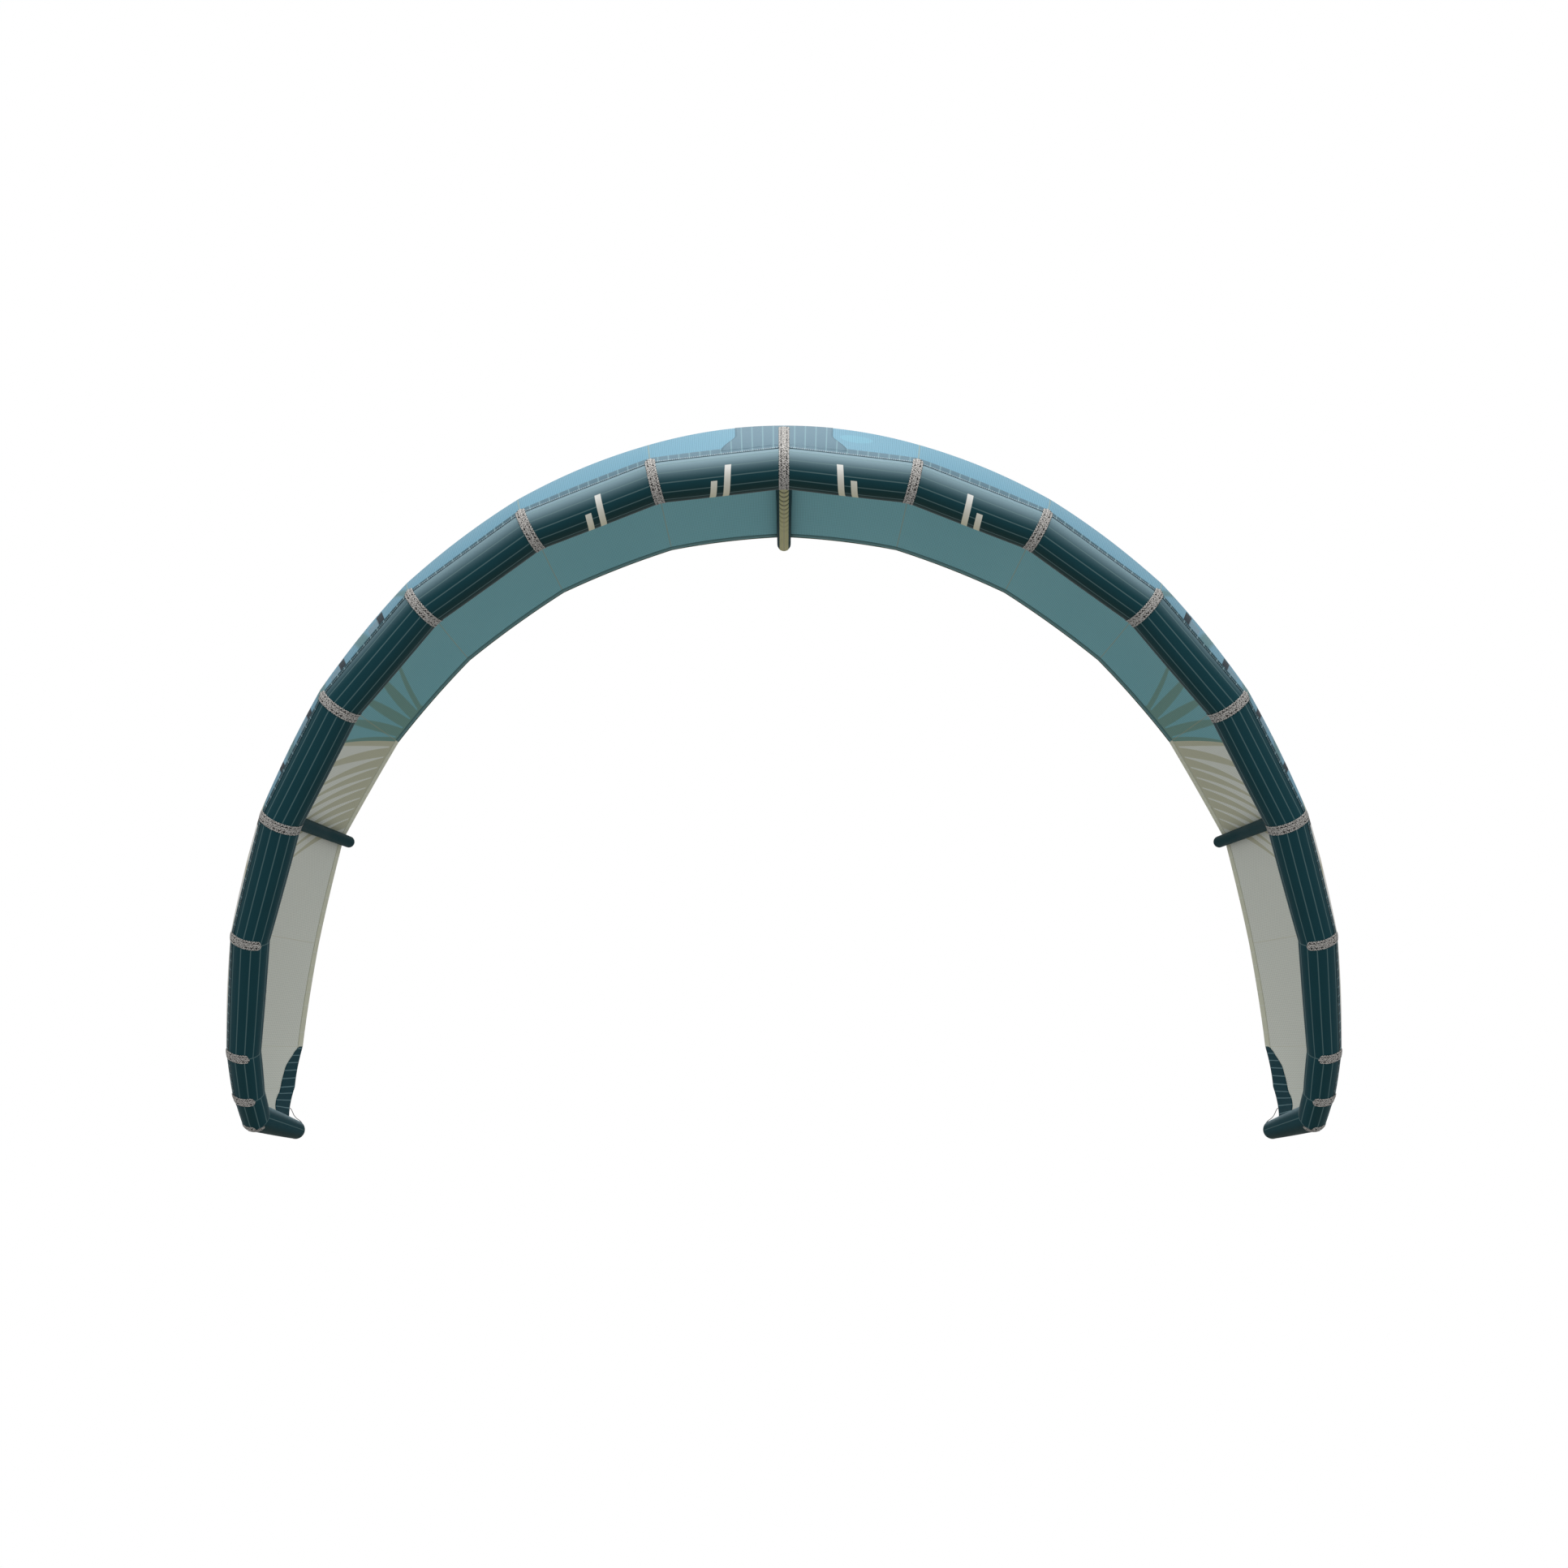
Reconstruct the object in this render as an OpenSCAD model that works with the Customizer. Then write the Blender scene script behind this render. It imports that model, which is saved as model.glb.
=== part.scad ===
// Inflatable kitesurfing kite: leading edge tube, three struts, sewn canopy, bladders and air fittings.
// The origin is the middle of the leading edge, on the tube's axis. +X runs to the right tip,
// +Y to the trailing edge and +Z up. The right half is described and the left half mirrors it.

/* [Leading edge panels] */
// Length of the tube panel from the centre seam to the first seam
centre_panel_len = 492; // [440:1:560]
// Length of the plain tube panels
panel_len = 510; // [460:1:570]
// Length of the tube panel above the side strut
strut_panel_len = 526; // [470:1:590]
// Length of the short tube panel before the corner panel
tip_panel_len = 205; // [180:1:240]
// Length of the corner panel
corner_panel_len = 128; // [115:1:150]
// Length of the tip tube behind the corner, to the middle of its round end
tip_tube_len = 371; // [320:1:420]

/* [Leading edge shape] */
// Downward slope of the centre panel, in degrees
centre_lean = 6.4; // [5:0.1:8]
// Slope gained at each seam, in degrees
seam_turn = 14.4; // [12.5:0.1:15.5]
// How fast that turn fades towards the tip
turn_fade = 0.049; // [0.035:0.001:0.06]
// Backward sweep gained at each seam, in degrees
sweep_rate = 2.45; // [1.8:0.05:3]
// Extra sweep towards the tip
sweep_growth = 0.022; // [0.01:0.001:0.03]
// Slope of the tip tube, in degrees
tip_lean = 136.6; // [130:0.2:142]
// Backward sweep of the tip tube, in degrees
tip_sweep = 68; // [63:0.5:72]
// Radius of the leading edge tube over its middle part
le_r = 81; // [72:0.5:90]
// Share of the half span after which the tube tapers
taper_start = 0.5; // [0.4:0.01:0.6]
// Strength of that taper
le_taper = 1.55; // [1.2:0.05:1.9]
// Radius of the tube at the round tip end
tip_r = 39; // [33:0.5:45]

/* [Canopy] */
// Distance from the tube's axis to the trailing edge at the centre
root_chord = 1720; // [1560:5:1880]
// Power of the planform curve: higher makes the wing tips narrower
planform_power = 0.76; // [0.68:0.01:0.84]
// Outward splay of the outer seams, in degrees
rib_splay = 3.35; // [2:0.05:5]
// Slope from the tube's axis down to the trailing edge, in degrees
rib_pitch = 3.6; // [2.6:0.1:4.6]
// Inward turn of the wing tip, in degrees over a whole half span
tip_toe = 26; // [18:0.5:32]
// Share of the half span after which the wing tip turns in
toe_start = 0.6; // [0.55:0.01:0.66]
// Angle in front of the tube's outer line at which the canopy is sewn on, in degrees
attach_angle = 32; // [26:0.5:38]
// How far the cloth follows the sewing angle, in tube radii
nose_wrap = 1.8; // [1.7:0.05:2]
// Extra length over which the canopy rises at the centre
crest_pull = 380; // [300:5:460]
// Share of the half span over which that extra rise fades out
crest_span = 0.55; // [0.48:0.01:0.62]
// Share of the chord that runs straight to the trailing edge
tail_pull = 0.5; // [0.42:0.01:0.58]
// Angle at which the cloth comes down to the trailing edge, in degrees
exit_angle = 14.5; // [13.5:0.5:17]
// Outward bulge of each canopy panel between its seams, as a share of its width
bulge_share = 0.024; // [0:0.002:0.04]
// Depth of the hollow curve in the trailing edge between two seams
te_scallop = 12; // [4:0.5:20]
// Thickness of the canopy cloth as a solid
canopy_t = 1; // [0.8:0.1:1.4]
// Width of the tape that joins the canopy to the tube
join_tape_w = 26; // [20:1:34]
// Width of the trailing edge hem
hem_w = 24; // [16:1:32]
// Extra thickness of the hem
hem_extra_t = 0.6; // [0.3:0.1:1]
// Share of the tip tube that the canopy is sewn along
tip_reach = 0.8; // [0.7:0.01:0.86]
// Place of the last seam along the trailing edge of the wing tip
tip_te_share = 0.58; // [0.5:0.01:0.66]
// Width of the dark corner panel at the last seam, as a share of the seam
corner_share_seam = 0.2; // [0.14:0.01:0.26]
// Width of the dark corner panel at the tip tube, as a share of the tip edge
corner_share_tube = 0.42; // [0.34:0.01:0.5]

/* [Cloth and sewing] */
// Thickness of the tube casing
casing_wall = 1; // [0.8:0.1:1.3]
// Thickness of the bladder film as a solid
bladder_wall = 0.8; // [0.6:0.1:1]
// Gap between bladder and casing
bladder_gap = 0.5; // [0.4:0.1:1]
// Gap between two sewn cloth edges
seam_gap = 0.3; // [0.2:0.05:0.4]
// Gap under a piece that lies on another
seat_gap = 0.3; // [0.2:0.05:0.4]
// Width of the woven patch over each leading edge seam
patch_w = 40; // [30:1:50]
// Thickness of that patch
patch_t = 0.6; // [0.4:0.1:0.8]

/* [Struts] */
// Front radius of the centre strut
centre_strut_front_r = 44; // [38:0.5:50]
// Rear radius of the centre strut
centre_strut_rear_r = 30; // [24:0.5:35]
// Front radius of a side strut
side_strut_front_r = 35; // [31:0.5:39]
// Rear radius of a side strut
side_strut_rear_r = 25; // [20:0.5:29]
// Width of the wear strip under the centre strut
wear_strip_w = 44; // [30:1:52]

/* [Air hoses] */
// Outer radius of an air hose
hose_r = 5.5; // [4.5:0.25:6.5]
// Radius of the bend in an air hose
hose_bend_r = 45; // [40:1:52]
// Angle of the hose outlet below the tube's rear line, in degrees
hose_outlet_angle = 22; // [16:1:28]
// Height of the hose outlet above the tube
outlet_h = 16; // [12:0.5:20]
// Wall of the outlet around the hose end
outlet_wall = 3; // [2:0.25:4]
// Depth of the socket that the hose end sits in
socket_depth = 9; // [6:0.5:11]
// Length of the hose clip
clip_len = 26; // [24:0.5:30]
// Wall of the hose clip
clip_wall = 2.6; // [2:0.1:3.2]
// Thickness of the pinched hose
pinched_t = 3; // [2.4:0.1:3.6]
// Radius of the clip's hinge pin
clip_pin_r = 1.5; // [1.2:0.1:1.8]
// Radial clearance of a hinge pin in its hole
pin_clear = 0.06; // [0.04:0.01:0.1]

/* [Inflation valve] */
// Distance of the valve from the centre seam, along the tube
valve_at = 230; // [170:5:300]
// Angle of the valve below the tube's rear line, in degrees
valve_angle = 30; // [15:1:45]
// Radius of the opening that the pump hose plugs into
valve_bore_r = 11; // [9:0.5:12]
// Wall of the valve's turning body
valve_wall = 4; // [3.5:0.25:5]
// Width of the valve base around the turning body
valve_base_w = 13; // [10:0.5:16]
// Height of the valve base above the tube
valve_base_h = 6; // [5:0.5:8]
// Height of the turning body's collar above the base
valve_collar_h = 6; // [5:0.5:8]
// Thickness of the valve cap
valve_cap_t = 3; // [2.4:0.2:4]
// Depth of the plug under the valve cap
valve_plug_h = 4; // [3:0.5:5]
// Radius of the hinge pin of the valve cap
valve_pin_r = 1.2; // [1:0.1:1.5]
// Thickness of the one-way flap
flap_t = 1.2; // [0.8:0.1:1.6]

/* [Line tabs] */
// Radius of the hole for a line in each webbing loop
loop_bore_r = 5; // [4:0.25:6]
// Thickness of the folded webbing
loop_wall = 3; // [2.5:0.25:4]
// Width of the webbing
loop_w = 14; // [12:0.5:18]
// Length and width of the sewn foot of a loop
loop_foot = 34; // [28:1:40]
// Angle of the front loops behind the tube's inner line, in degrees
loop_angle = 52; // [48:1:60]
// Thickness of the tip cord
tip_cord_d = 3; // [2.5:0.1:3.5]

/* [Hidden] */
SEAM_COUNT = 10;
CORNER = SEAM_COUNT - 1;
SIDE_STRUT_SEAM = SEAM_COUNT / 2;
LOOP_SEAMS = [2, 3, 4];
CHORD_STEPS = 14;
SPAN_STEPS = 5;
TAPE_STEPS = 4;
CORNER_STEPS = 3;
REINFORCEMENT_ROWS = 3;
REINFORCEMENT_COLS = 2;
CENTRE_STRUT_ROWS = [3, 6, 9, 12];
SIDE_STRUT_ROWS = [4, 8, 12];
BLADDER_SIDES = 16;
STRUT_BLADDER_SIDES = 12;
BIG = 900;
ROUND = 64;

// Colours
casing_colour = [0.13, 0.27, 0.30];
canopy_top_colour = [0.52, 0.71, 0.78];
canopy_tip_colour = [0.90, 0.90, 0.87];
tape_colour = [0.10, 0.30, 0.36];
patch_colour = [0.55, 0.52, 0.50];
strip_colour = [0.51, 0.50, 0.39];
bladder_colour = [0.85, 0.87, 0.86];
plastic_colour = [0.12, 0.13, 0.14];
webbing_colour = [0.16, 0.16, 0.17];
cord_colour = [0.62, 0.63, 0.62];

// Vector helpers
function unit(v) = v / norm(v);
function mix(a, b, t) = a + (b - a) * t;
function across(v, u) = unit(v - (v * u) * u);
function flat(rows) = [for (row = rows) for (p = row) p];
function mirrored(p) = [-p.x, p.y, p.z];

// Leading edge: seam 0 is the centre seam, seam 9 the corner and point 10 the middle of the tip end
function panel_length(k) =
  k == 1 ? centre_panel_len :
  k == SIDE_STRUT_SEAM ? strut_panel_len :
  k == CORNER - 1 ? tip_panel_len :
  k == CORNER ? corner_panel_len :
  k == SEAM_COUNT ? tip_tube_len : panel_len;
function lean(k) =
  k == SEAM_COUNT ? tip_lean : centre_lean + seam_turn * (k - 1) - turn_fade * pow(k - 1, 3);
function sweep(k) =
  k == SEAM_COUNT ? tip_sweep : sweep_rate * (k - 0.5) + sweep_growth * pow(k - 0.5, 3);
function panel_dir(k) =
  [cos(lean(k)) * cos(sweep(k)), sin(sweep(k)), -sin(lean(k)) * cos(sweep(k))];
function run_to(k) = k == 0 ? 0 : run_to(k - 1) + panel_length(k);
half_span = run_to(SEAM_COUNT);
function span_share(k) = run_to(k) / half_span;
SEAMS = [
  for (k = 0, p = [0, 0, 0]; k <= SEAM_COUNT; k = k + 1, p = p + panel_length(k) * panel_dir(k)) p
];
function tube_r(k) =
  k == SEAM_COUNT ? tip_r : le_r * (1 - le_taper * pow(max(0, span_share(k) - taper_start), 2));

// Axes at a seam: along the tube, back across the tube, and outward across the tube
function seam_along(k) =
  k == 0 ? [1, 0, 0] :
  k == SEAM_COUNT ? panel_dir(k) : unit(panel_dir(k) + panel_dir(k + 1));
function seam_back(k) = across([0, 1, 0], seam_along(k));
function seam_out(k) = cross(seam_along(k), seam_back(k));
function seam_lean(k) = k == 0 ? 0 : (lean(k) + lean(min(k + 1, CORNER))) / 2;
function arc_out(k) = [sin(seam_lean(k)), 0, cos(seam_lean(k))];
function arc_along(k) = [cos(seam_lean(k)), 0, -sin(seam_lean(k))];
function half_turn(k) = k == 0 ? centre_lean : (lean(k + 1) - lean(k)) / 2;

// Distance from a seam point, in the direction w, at which both tube panels are cleared
function taper(j) = (tube_r(j - 1) - tube_r(j)) / panel_length(j);
function reach_over(j, w, r) =
  let (lengthwise = w * panel_dir(j))
  r / (sqrt(1 - pow(lengthwise, 2)) + taper(j) * lengthwise);
function reach_out(k, w) =
  max([for (j = [max(k, 1) : min(k + 1, SEAM_COUNT)]) reach_over(j, w, tube_r(k))]);
canopy_seat = seat_gap + canopy_t / 4;
tip_seat = canopy_seat + seat_gap;
function attach_axis(k) = k == CORNER ? panel_dir(k) : seam_along(k);
function attach_back(k) = across([0, 1, 0], attach_axis(k));
function attach_out(k) = cross(attach_axis(k), attach_back(k));
function attach_dir(k) = cos(attach_angle) * attach_out(k) - sin(attach_angle) * attach_back(k);
function attach_point(k) = SEAMS[k] + attach_dir(k) * (reach_out(k, attach_dir(k)) + canopy_seat);

// Trailing edge points
function chord(k) = root_chord * pow(1 - pow(span_share(k), 2), planform_power);
function rib_back(k) =
  let (
    splay = rib_splay * min(1, k / 3),
    pitch = rib_pitch + tip_toe * max(0, span_share(k) - toe_start)
  )
  unit([0, 1, 0] + tan(splay) * arc_along(k) - tan(pitch) * arc_out(k));
tip_up = across([0, 0, 1], panel_dir(SEAM_COUNT));
tip_edge_end = mix(SEAMS[CORNER], SEAMS[SEAM_COUNT], tip_reach);
function te_point(k) =
  k == CORNER ? tip_edge_end + tip_up * (mix(tube_r(CORNER), tip_r, tip_reach) + tip_seat) :
  k == CORNER - 1 ? mix(te_point(k - 1), te_point(k + 1), tip_te_share) :
  SEAMS[k] + chord(k) * rib_back(k);

// Each canopy seam is a cubic curve that leaves the tube along its surface
function nose_length(k) =
  nose_wrap * tube_r(k) + crest_pull * max(0, 1 - span_share(k) / crest_span);
function tail_length(k) = tail_pull * norm(te_point(k) - SEAMS[k]);
function rib_controls(k) =
  let (a = attach_point(k), e = te_point(k), back = unit(e - SEAMS[k]))
  [
    a,
    a + nose_length(k) * (cos(attach_angle) * attach_back(k) + sin(attach_angle) * attach_out(k)),
    e - tail_length(k) * (cos(exit_angle) * back - sin(exit_angle) * arc_out(k)),
    e
  ];
RIBS = [for (k = [0 : CORNER - 1]) rib_controls(k)];
function cubic(q, t) =
  pow(1 - t, 3) * q[0] + 3 * pow(1 - t, 2) * t * q[1] + 3 * (1 - t) * t * t * q[2] + pow(t, 3) * q[3];
function cubic_slope(q, t) =
  unit(pow(1 - t, 2) * (q[1] - q[0]) + 2 * (1 - t) * t * (q[2] - q[1]) + t * t * (q[3] - q[2]));

// The canopy's lower edge wraps from the tube's outer side to its upper side along the tip tube
tip_edge_turn = 0.65;
function tip_edge(t) =
  let (
    w = unit(mix(attach_dir(CORNER), tip_up, pow(t, tip_edge_turn))),
    r = mix(tube_r(CORNER), tip_r, tip_reach * t)
  )
  mix(SEAMS[CORNER], tip_edge_end, t) + w * (reach_over(SEAM_COUNT, w, r) + tip_seat);
function rib_point(k, t) = k == CORNER ? tip_edge(t) : cubic(RIBS[k], t);
function nose_speed(k) = k == CORNER ? tip_reach * tip_tube_len : 3 * nose_length(k);
function tail_speed(k) = k == CORNER ? tip_reach * tip_tube_len : 3 * tail_length(k);
function tape_end(k) = join_tape_w / nose_speed(k);
function hem_start(k) = 1 - hem_w / tail_speed(k);

// The dark corner panel takes the rear of the last two canopy panels
corner_tail_w = 8;
function sail_end(k, panel) =
  k == CORNER ? 1 - corner_share_tube :
  k == CORNER - 1 ? 1 - corner_share_seam :
  panel == CORNER - 1 ? hem_start(k) - corner_tail_w / tail_speed(k) : hem_start(k);

// A point of canopy panel k: v runs from its inner to its outer seam and t from the tube to the back
function panel_out(k) = unit([sin(lean(k)), 0, cos(lean(k))]);
function canopy_point(k, v, t) =
  let (
    a = rib_point(k - 1, t),
    b = rib_point(k, t),
    hump = 4 * v * (1 - v),
    bulge = bulge_share * panel_length(k) * hump * 4 * t * (1 - t),
    back = unit(mix(te_point(k - 1), te_point(k), v) - mix(SEAMS[k - 1], SEAMS[k], v))
  )
  mix(a, b, v) + bulge * panel_out(k) - te_scallop * hump * pow(t, 4) * back;

// Solids between two grids of points
module sheet_solid(low, high) {
  rows = len(low);
  cols = len(low[0]);
  half = rows * cols;
  function at(i, j) = i * cols + j;
  points = concat(flat(low), flat(high));
  cells = [for (i = [0 : rows - 2]) for (j = [0 : cols - 2]) [i, j]];
  over = [
    for (c = cells)
      each [
        [half + at(c[0], c[1]), half + at(c[0] + 1, c[1]), half + at(c[0] + 1, c[1] + 1)],
        [half + at(c[0], c[1]), half + at(c[0] + 1, c[1] + 1), half + at(c[0], c[1] + 1)]
      ]
  ];
  under = [
    for (c = cells)
      each [
        [at(c[0], c[1]), at(c[0] + 1, c[1] + 1), at(c[0] + 1, c[1])],
        [at(c[0], c[1]), at(c[0], c[1] + 1), at(c[0] + 1, c[1] + 1)]
      ]
  ];
  rim = concat(
    [for (j = [0 : cols - 2]) [at(0, j), at(0, j + 1)]],
    [for (i = [0 : rows - 2]) [at(i, cols - 1), at(i + 1, cols - 1)]],
    [for (j = [cols - 1 : -1 : 1]) [at(rows - 1, j), at(rows - 1, j - 1)]],
    [for (i = [rows - 1 : -1 : 1]) [at(i, 0), at(i - 1, 0)]]
  );
  walls = [
    for (e = rim)
      each [
        [e[0], half + e[0], half + e[1]],
        [e[0], half + e[1], e[1]]
      ]
  ];
  polyhedron(points, concat(over, under, walls));
}

// A piece of canopy panel k between two lines of constant share, given at its inner and outer seam
module canopy_piece(k, front, back, rows, cols, lift, thick, to_row = BIG, to_col = BIG) {
  edge = seam_gap / 2 / panel_length(k);
  function spot(i, j, up) =
    let (
      v = mix(edge, 1 - edge, j / cols),
      t = mix(mix(front[0], front[1], v), mix(back[0], back[1], v), i / rows)
    )
    canopy_point(k, v, t) + up * panel_out(k);
  last_row = min(rows, to_row);
  last_col = min(cols, to_col);
  low = [for (i = [0 : last_row]) [for (j = [0 : last_col]) spot(i, j, lift)]];
  high = [for (i = [0 : last_row]) [for (j = [0 : last_col]) spot(i, j, lift + thick)]];
  sheet_solid(low, high);
}

// A tube swept through rings: each ring lies across the path at its point
function path_along(path, i) =
  i == 0 ? unit(path[1] - path[0]) :
  i == len(path) - 1 ? unit(path[i] - path[i - 1]) :
  unit(unit(path[i] - path[i - 1]) + unit(path[i + 1] - path[i]));
function ring(centre, along, wide_dir, wide, high, sides) =
  let (x = across(wide_dir, along), y = cross(along, x))
  [for (s = [0 : sides - 1]) centre + wide * cos(360 * s / sides) * x + high * sin(360 * s / sides) * y];
module ring_solid(rings) {
  sides = len(rings[0]);
  last = (len(rings) - 1) * sides;
  skin = [
    for (i = [0 : len(rings) - 2])
      for (s = [0 : sides - 1])
        let (a = i * sides + s, b = i * sides + (s + 1) % sides)
        each [[a, a + sides, b + sides], [a, b + sides, b]]
  ];
  start = [[for (s = [0 : sides - 1]) s]];
  finish = [[for (s = [sides - 1 : -1 : 0]) last + s]];
  polyhedron(flat(rings), concat(skin, start, finish));
}
module round_sweep(path, radii, wide_dir, sides) {
  ring_solid([
    for (i = [0 : len(path) - 1])
      ring(path[i], path_along(path, i), wide_dir, radii[i], radii[i], sides)
  ]);
}

// Turns +Z to a direction
module aim(v) {
  rotate([0, acos(v.z / norm(v)), atan2(v.y, v.x)]) children();
}
// Everything past a plane, as a box on the far side of it
module beyond(point, normal, size = BIG) {
  translate(point) aim(normal) translate([-size, -size, 0]) cube([2 * size, 2 * size, size]);
}
// A cone through ra at a and rb at b, carried on past both ends
module cone_between(a, b, ra, rb, past) {
  length = norm(b - a);
  slope = (rb - ra) / length;
  translate(a) aim(b - a) translate([0, 0, -past])
    cylinder(h = length + 2 * past, r1 = ra - slope * past, r2 = rb + slope * past, $fn = ROUND);
}
// One sewn tube panel, cut at both ends by the planes with normals na and nb
module tube_panel(a, b, ra, rb, na, nb, wall) {
  past = max(ra, rb);
  difference() {
    cone_between(a, b, ra, rb, past);
    cone_between(a, b, ra - wall, rb - wall, past + 1);
    beyond(a + na * seam_gap / 2, -na);
    beyond(b - nb * seam_gap / 2, nb);
  }
}
// Places children in a frame given by its origin, back direction and outward direction
module in_frame(origin, back, out) {
  side = cross(back, out);
  multmatrix([
    [side.x, back.x, out.x, origin.x],
    [side.y, back.y, out.y, origin.y],
    [side.z, back.z, out.z, origin.z],
    [0, 0, 0, 1]
  ])
    children();
}
module left() {
  mirror([1, 0, 0]) children();
}

// Leading edge casing: mitred cone panels
module le_cone(k, grow) {
  cone_between(SEAMS[k - 1], SEAMS[k], tube_r(k - 1) + grow, tube_r(k) + grow, le_r);
}
module casing_panel(k) {
  tube_panel(
    SEAMS[k - 1], SEAMS[k], tube_r(k - 1), tube_r(k), seam_along(k - 1), seam_along(k), casing_wall
  );
}
module centre_tube_panel_left() {
  color(casing_colour) left() casing_panel(1);
}
module centre_tube_panel_right() {
  color(casing_colour)
    difference() {
      casing_panel(1);
      in_valve_frame() cylinder(h = BIG, r = valve_stem_r + seat_gap, $fn = ROUND);
    }
}
module casing_half() {
  for (k = [2 : SEAM_COUNT]) casing_panel(k);
}
module leading_edge_casing_left() {
  color(casing_colour) left() casing_half();
}
module leading_edge_casing_right() {
  color(casing_colour) casing_half();
}

// Round cloth ends, sewn to the tubes
module round_end(centre, along, r, wall) {
  difference() {
    translate(centre) sphere(r, $fn = ROUND);
    translate(centre) sphere(r - wall, $fn = ROUND);
    beyond(centre + along * seam_gap / 2, -along);
  }
}
module tip_cap() {
  round_end(SEAMS[SEAM_COUNT], panel_dir(SEAM_COUNT), tip_r, casing_wall);
}
module tip_end_caps() {
  color(casing_colour) {
    tip_cap();
    left() tip_cap();
  }
}

// Leading edge bladder: one long film tube from tip to tip
BLADDER_PATH = concat([for (k = [SEAM_COUNT : -1 : 1]) mirrored(SEAMS[k])], SEAMS);
BLADDER_SEAMS = concat([for (k = [SEAM_COUNT : -1 : 1]) k], [for (k = [0 : SEAM_COUNT]) k]);
module bladder_tube(shrink) {
  radii = [for (k = BLADDER_SEAMS) tube_r(k) - casing_wall - bladder_gap - shrink];
  last = len(BLADDER_PATH) - 1;
  pull = shrink * 2;
  path = [
    for (i = [0 : last])
      i == 0 ? BLADDER_PATH[0] + pull * unit(BLADDER_PATH[1] - BLADDER_PATH[0]) :
      i == last ? BLADDER_PATH[last] + pull * unit(BLADDER_PATH[last - 1] - BLADDER_PATH[last]) :
      BLADDER_PATH[i]
  ];
  round_sweep(path, radii, [0, 1, 0], BLADDER_SIDES);
}
module leading_edge_bladder() {
  color(bladder_colour)
    difference() {
      bladder_tube(0);
      bladder_tube(bladder_wall);
      in_valve_frame() cylinder(h = BIG, r = valve_stem_r + seat_gap, $fn = 24);
    }
}

// Woven patches over the leading edge seams, open where the canopy is sewn on.
// Each patch is a pair of strips that meet over the seam
patch_slot = 22;
corner_slot = 70;
patch_slot_front = 3;
module patch_half(k, j) {
  toward = j > k ? 1 : -1;
  slot = k == CORNER ? corner_slot : patch_slot;
  back = across([0, 1, 0], panel_dir(j));
  out = cross(panel_dir(j), back);
  difference() {
    le_cone(j, seat_gap + patch_t);
    le_cone(j, seat_gap);
    beyond(SEAMS[k] + toward * seam_gap / 2 * seam_along(k), -toward * seam_along(k));
    beyond(SEAMS[k] + toward * patch_w / 2 * seam_along(k), toward * seam_along(k));
    in_frame(SEAMS[k], back, out)
      rotate([attach_angle, 0, 0])
        translate([-BIG / 2, -patch_slot_front, 0])
          cube([BIG, slot + patch_slot_front, BIG]);
  }
}
module seam_patch(k) {
  patch_half(k, k);
  patch_half(k, k + 1);
}
module centre_seam_patch() {
  color(patch_colour) {
    patch_half(0, 1);
    left() patch_half(0, 1);
  }
}
module seam_patches_left() {
  color(patch_colour) left() for (k = [1 : CORNER]) seam_patch(k);
}
module seam_patches_right() {
  color(patch_colour) for (k = [1 : CORNER]) seam_patch(k);
}

// Tape between tube and canopy
module join_tape() {
  for (k = [1 : CORNER])
    canopy_piece(k, [0, 0], [tape_end(k - 1), tape_end(k)], TAPE_STEPS, SPAN_STEPS, 0, canopy_t);
}
module join_tape_left() {
  color(tape_colour) left() join_tape();
}
module join_tape_right() {
  color(tape_colour) join_tape();
}

// Canopy panels
function sail_front(k) = tape_end(k) + seam_gap / nose_speed(k);
function sail_back(k, panel) = sail_end(k, panel) - seam_gap / tail_speed(k);
module canopy_panel(k) {
  tint = k <= 4 ? canopy_top_colour : canopy_tip_colour;
  color(tint)
    canopy_piece(
      k, [sail_front(k - 1), sail_front(k)], [sail_back(k - 1, k), sail_back(k, k)],
      CHORD_STEPS, SPAN_STEPS, 0, canopy_t
    );
}

// Dark panels at the rear corners of the wing tips
module tip_corner() {
  for (k = [CORNER - 1, CORNER])
    canopy_piece(
      k, [sail_end(k - 1, k), sail_end(k, k)],
      [hem_start(k - 1) - seam_gap / tail_speed(k - 1), hem_start(k) - seam_gap / tail_speed(k)],
      CORNER_STEPS, SPAN_STEPS, 0, canopy_t
    );
}
module tip_corner_panel_left() {
  color(tape_colour) left() tip_corner();
}
module tip_corner_panel_right() {
  color(tape_colour) tip_corner();
}

// Folded hem along the trailing edge
module hem() {
  for (k = [1 : CORNER])
    canopy_piece(k, [hem_start(k - 1), hem_start(k)], [1, 1], 1, SPAN_STEPS, 0, canopy_t + hem_extra_t);
}
module trailing_edge_hem_left() {
  color(tape_colour) left() hem();
}
module trailing_edge_hem_right() {
  color(tape_colour) hem();
}

// Second cloth layer on the front of the canopy at the centre
module reinforcement_half() {
  canopy_piece(
    1, [sail_front(0), sail_front(1)], [sail_back(0, 1), sail_back(1, 1)],
    CHORD_STEPS, SPAN_STEPS, canopy_t + seat_gap, canopy_t, REINFORCEMENT_ROWS, REINFORCEMENT_COLS
  );
}
module centre_reinforcement() {
  color(casing_colour) {
    reinforcement_half();
    left() reinforcement_half();
  }
}

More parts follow.
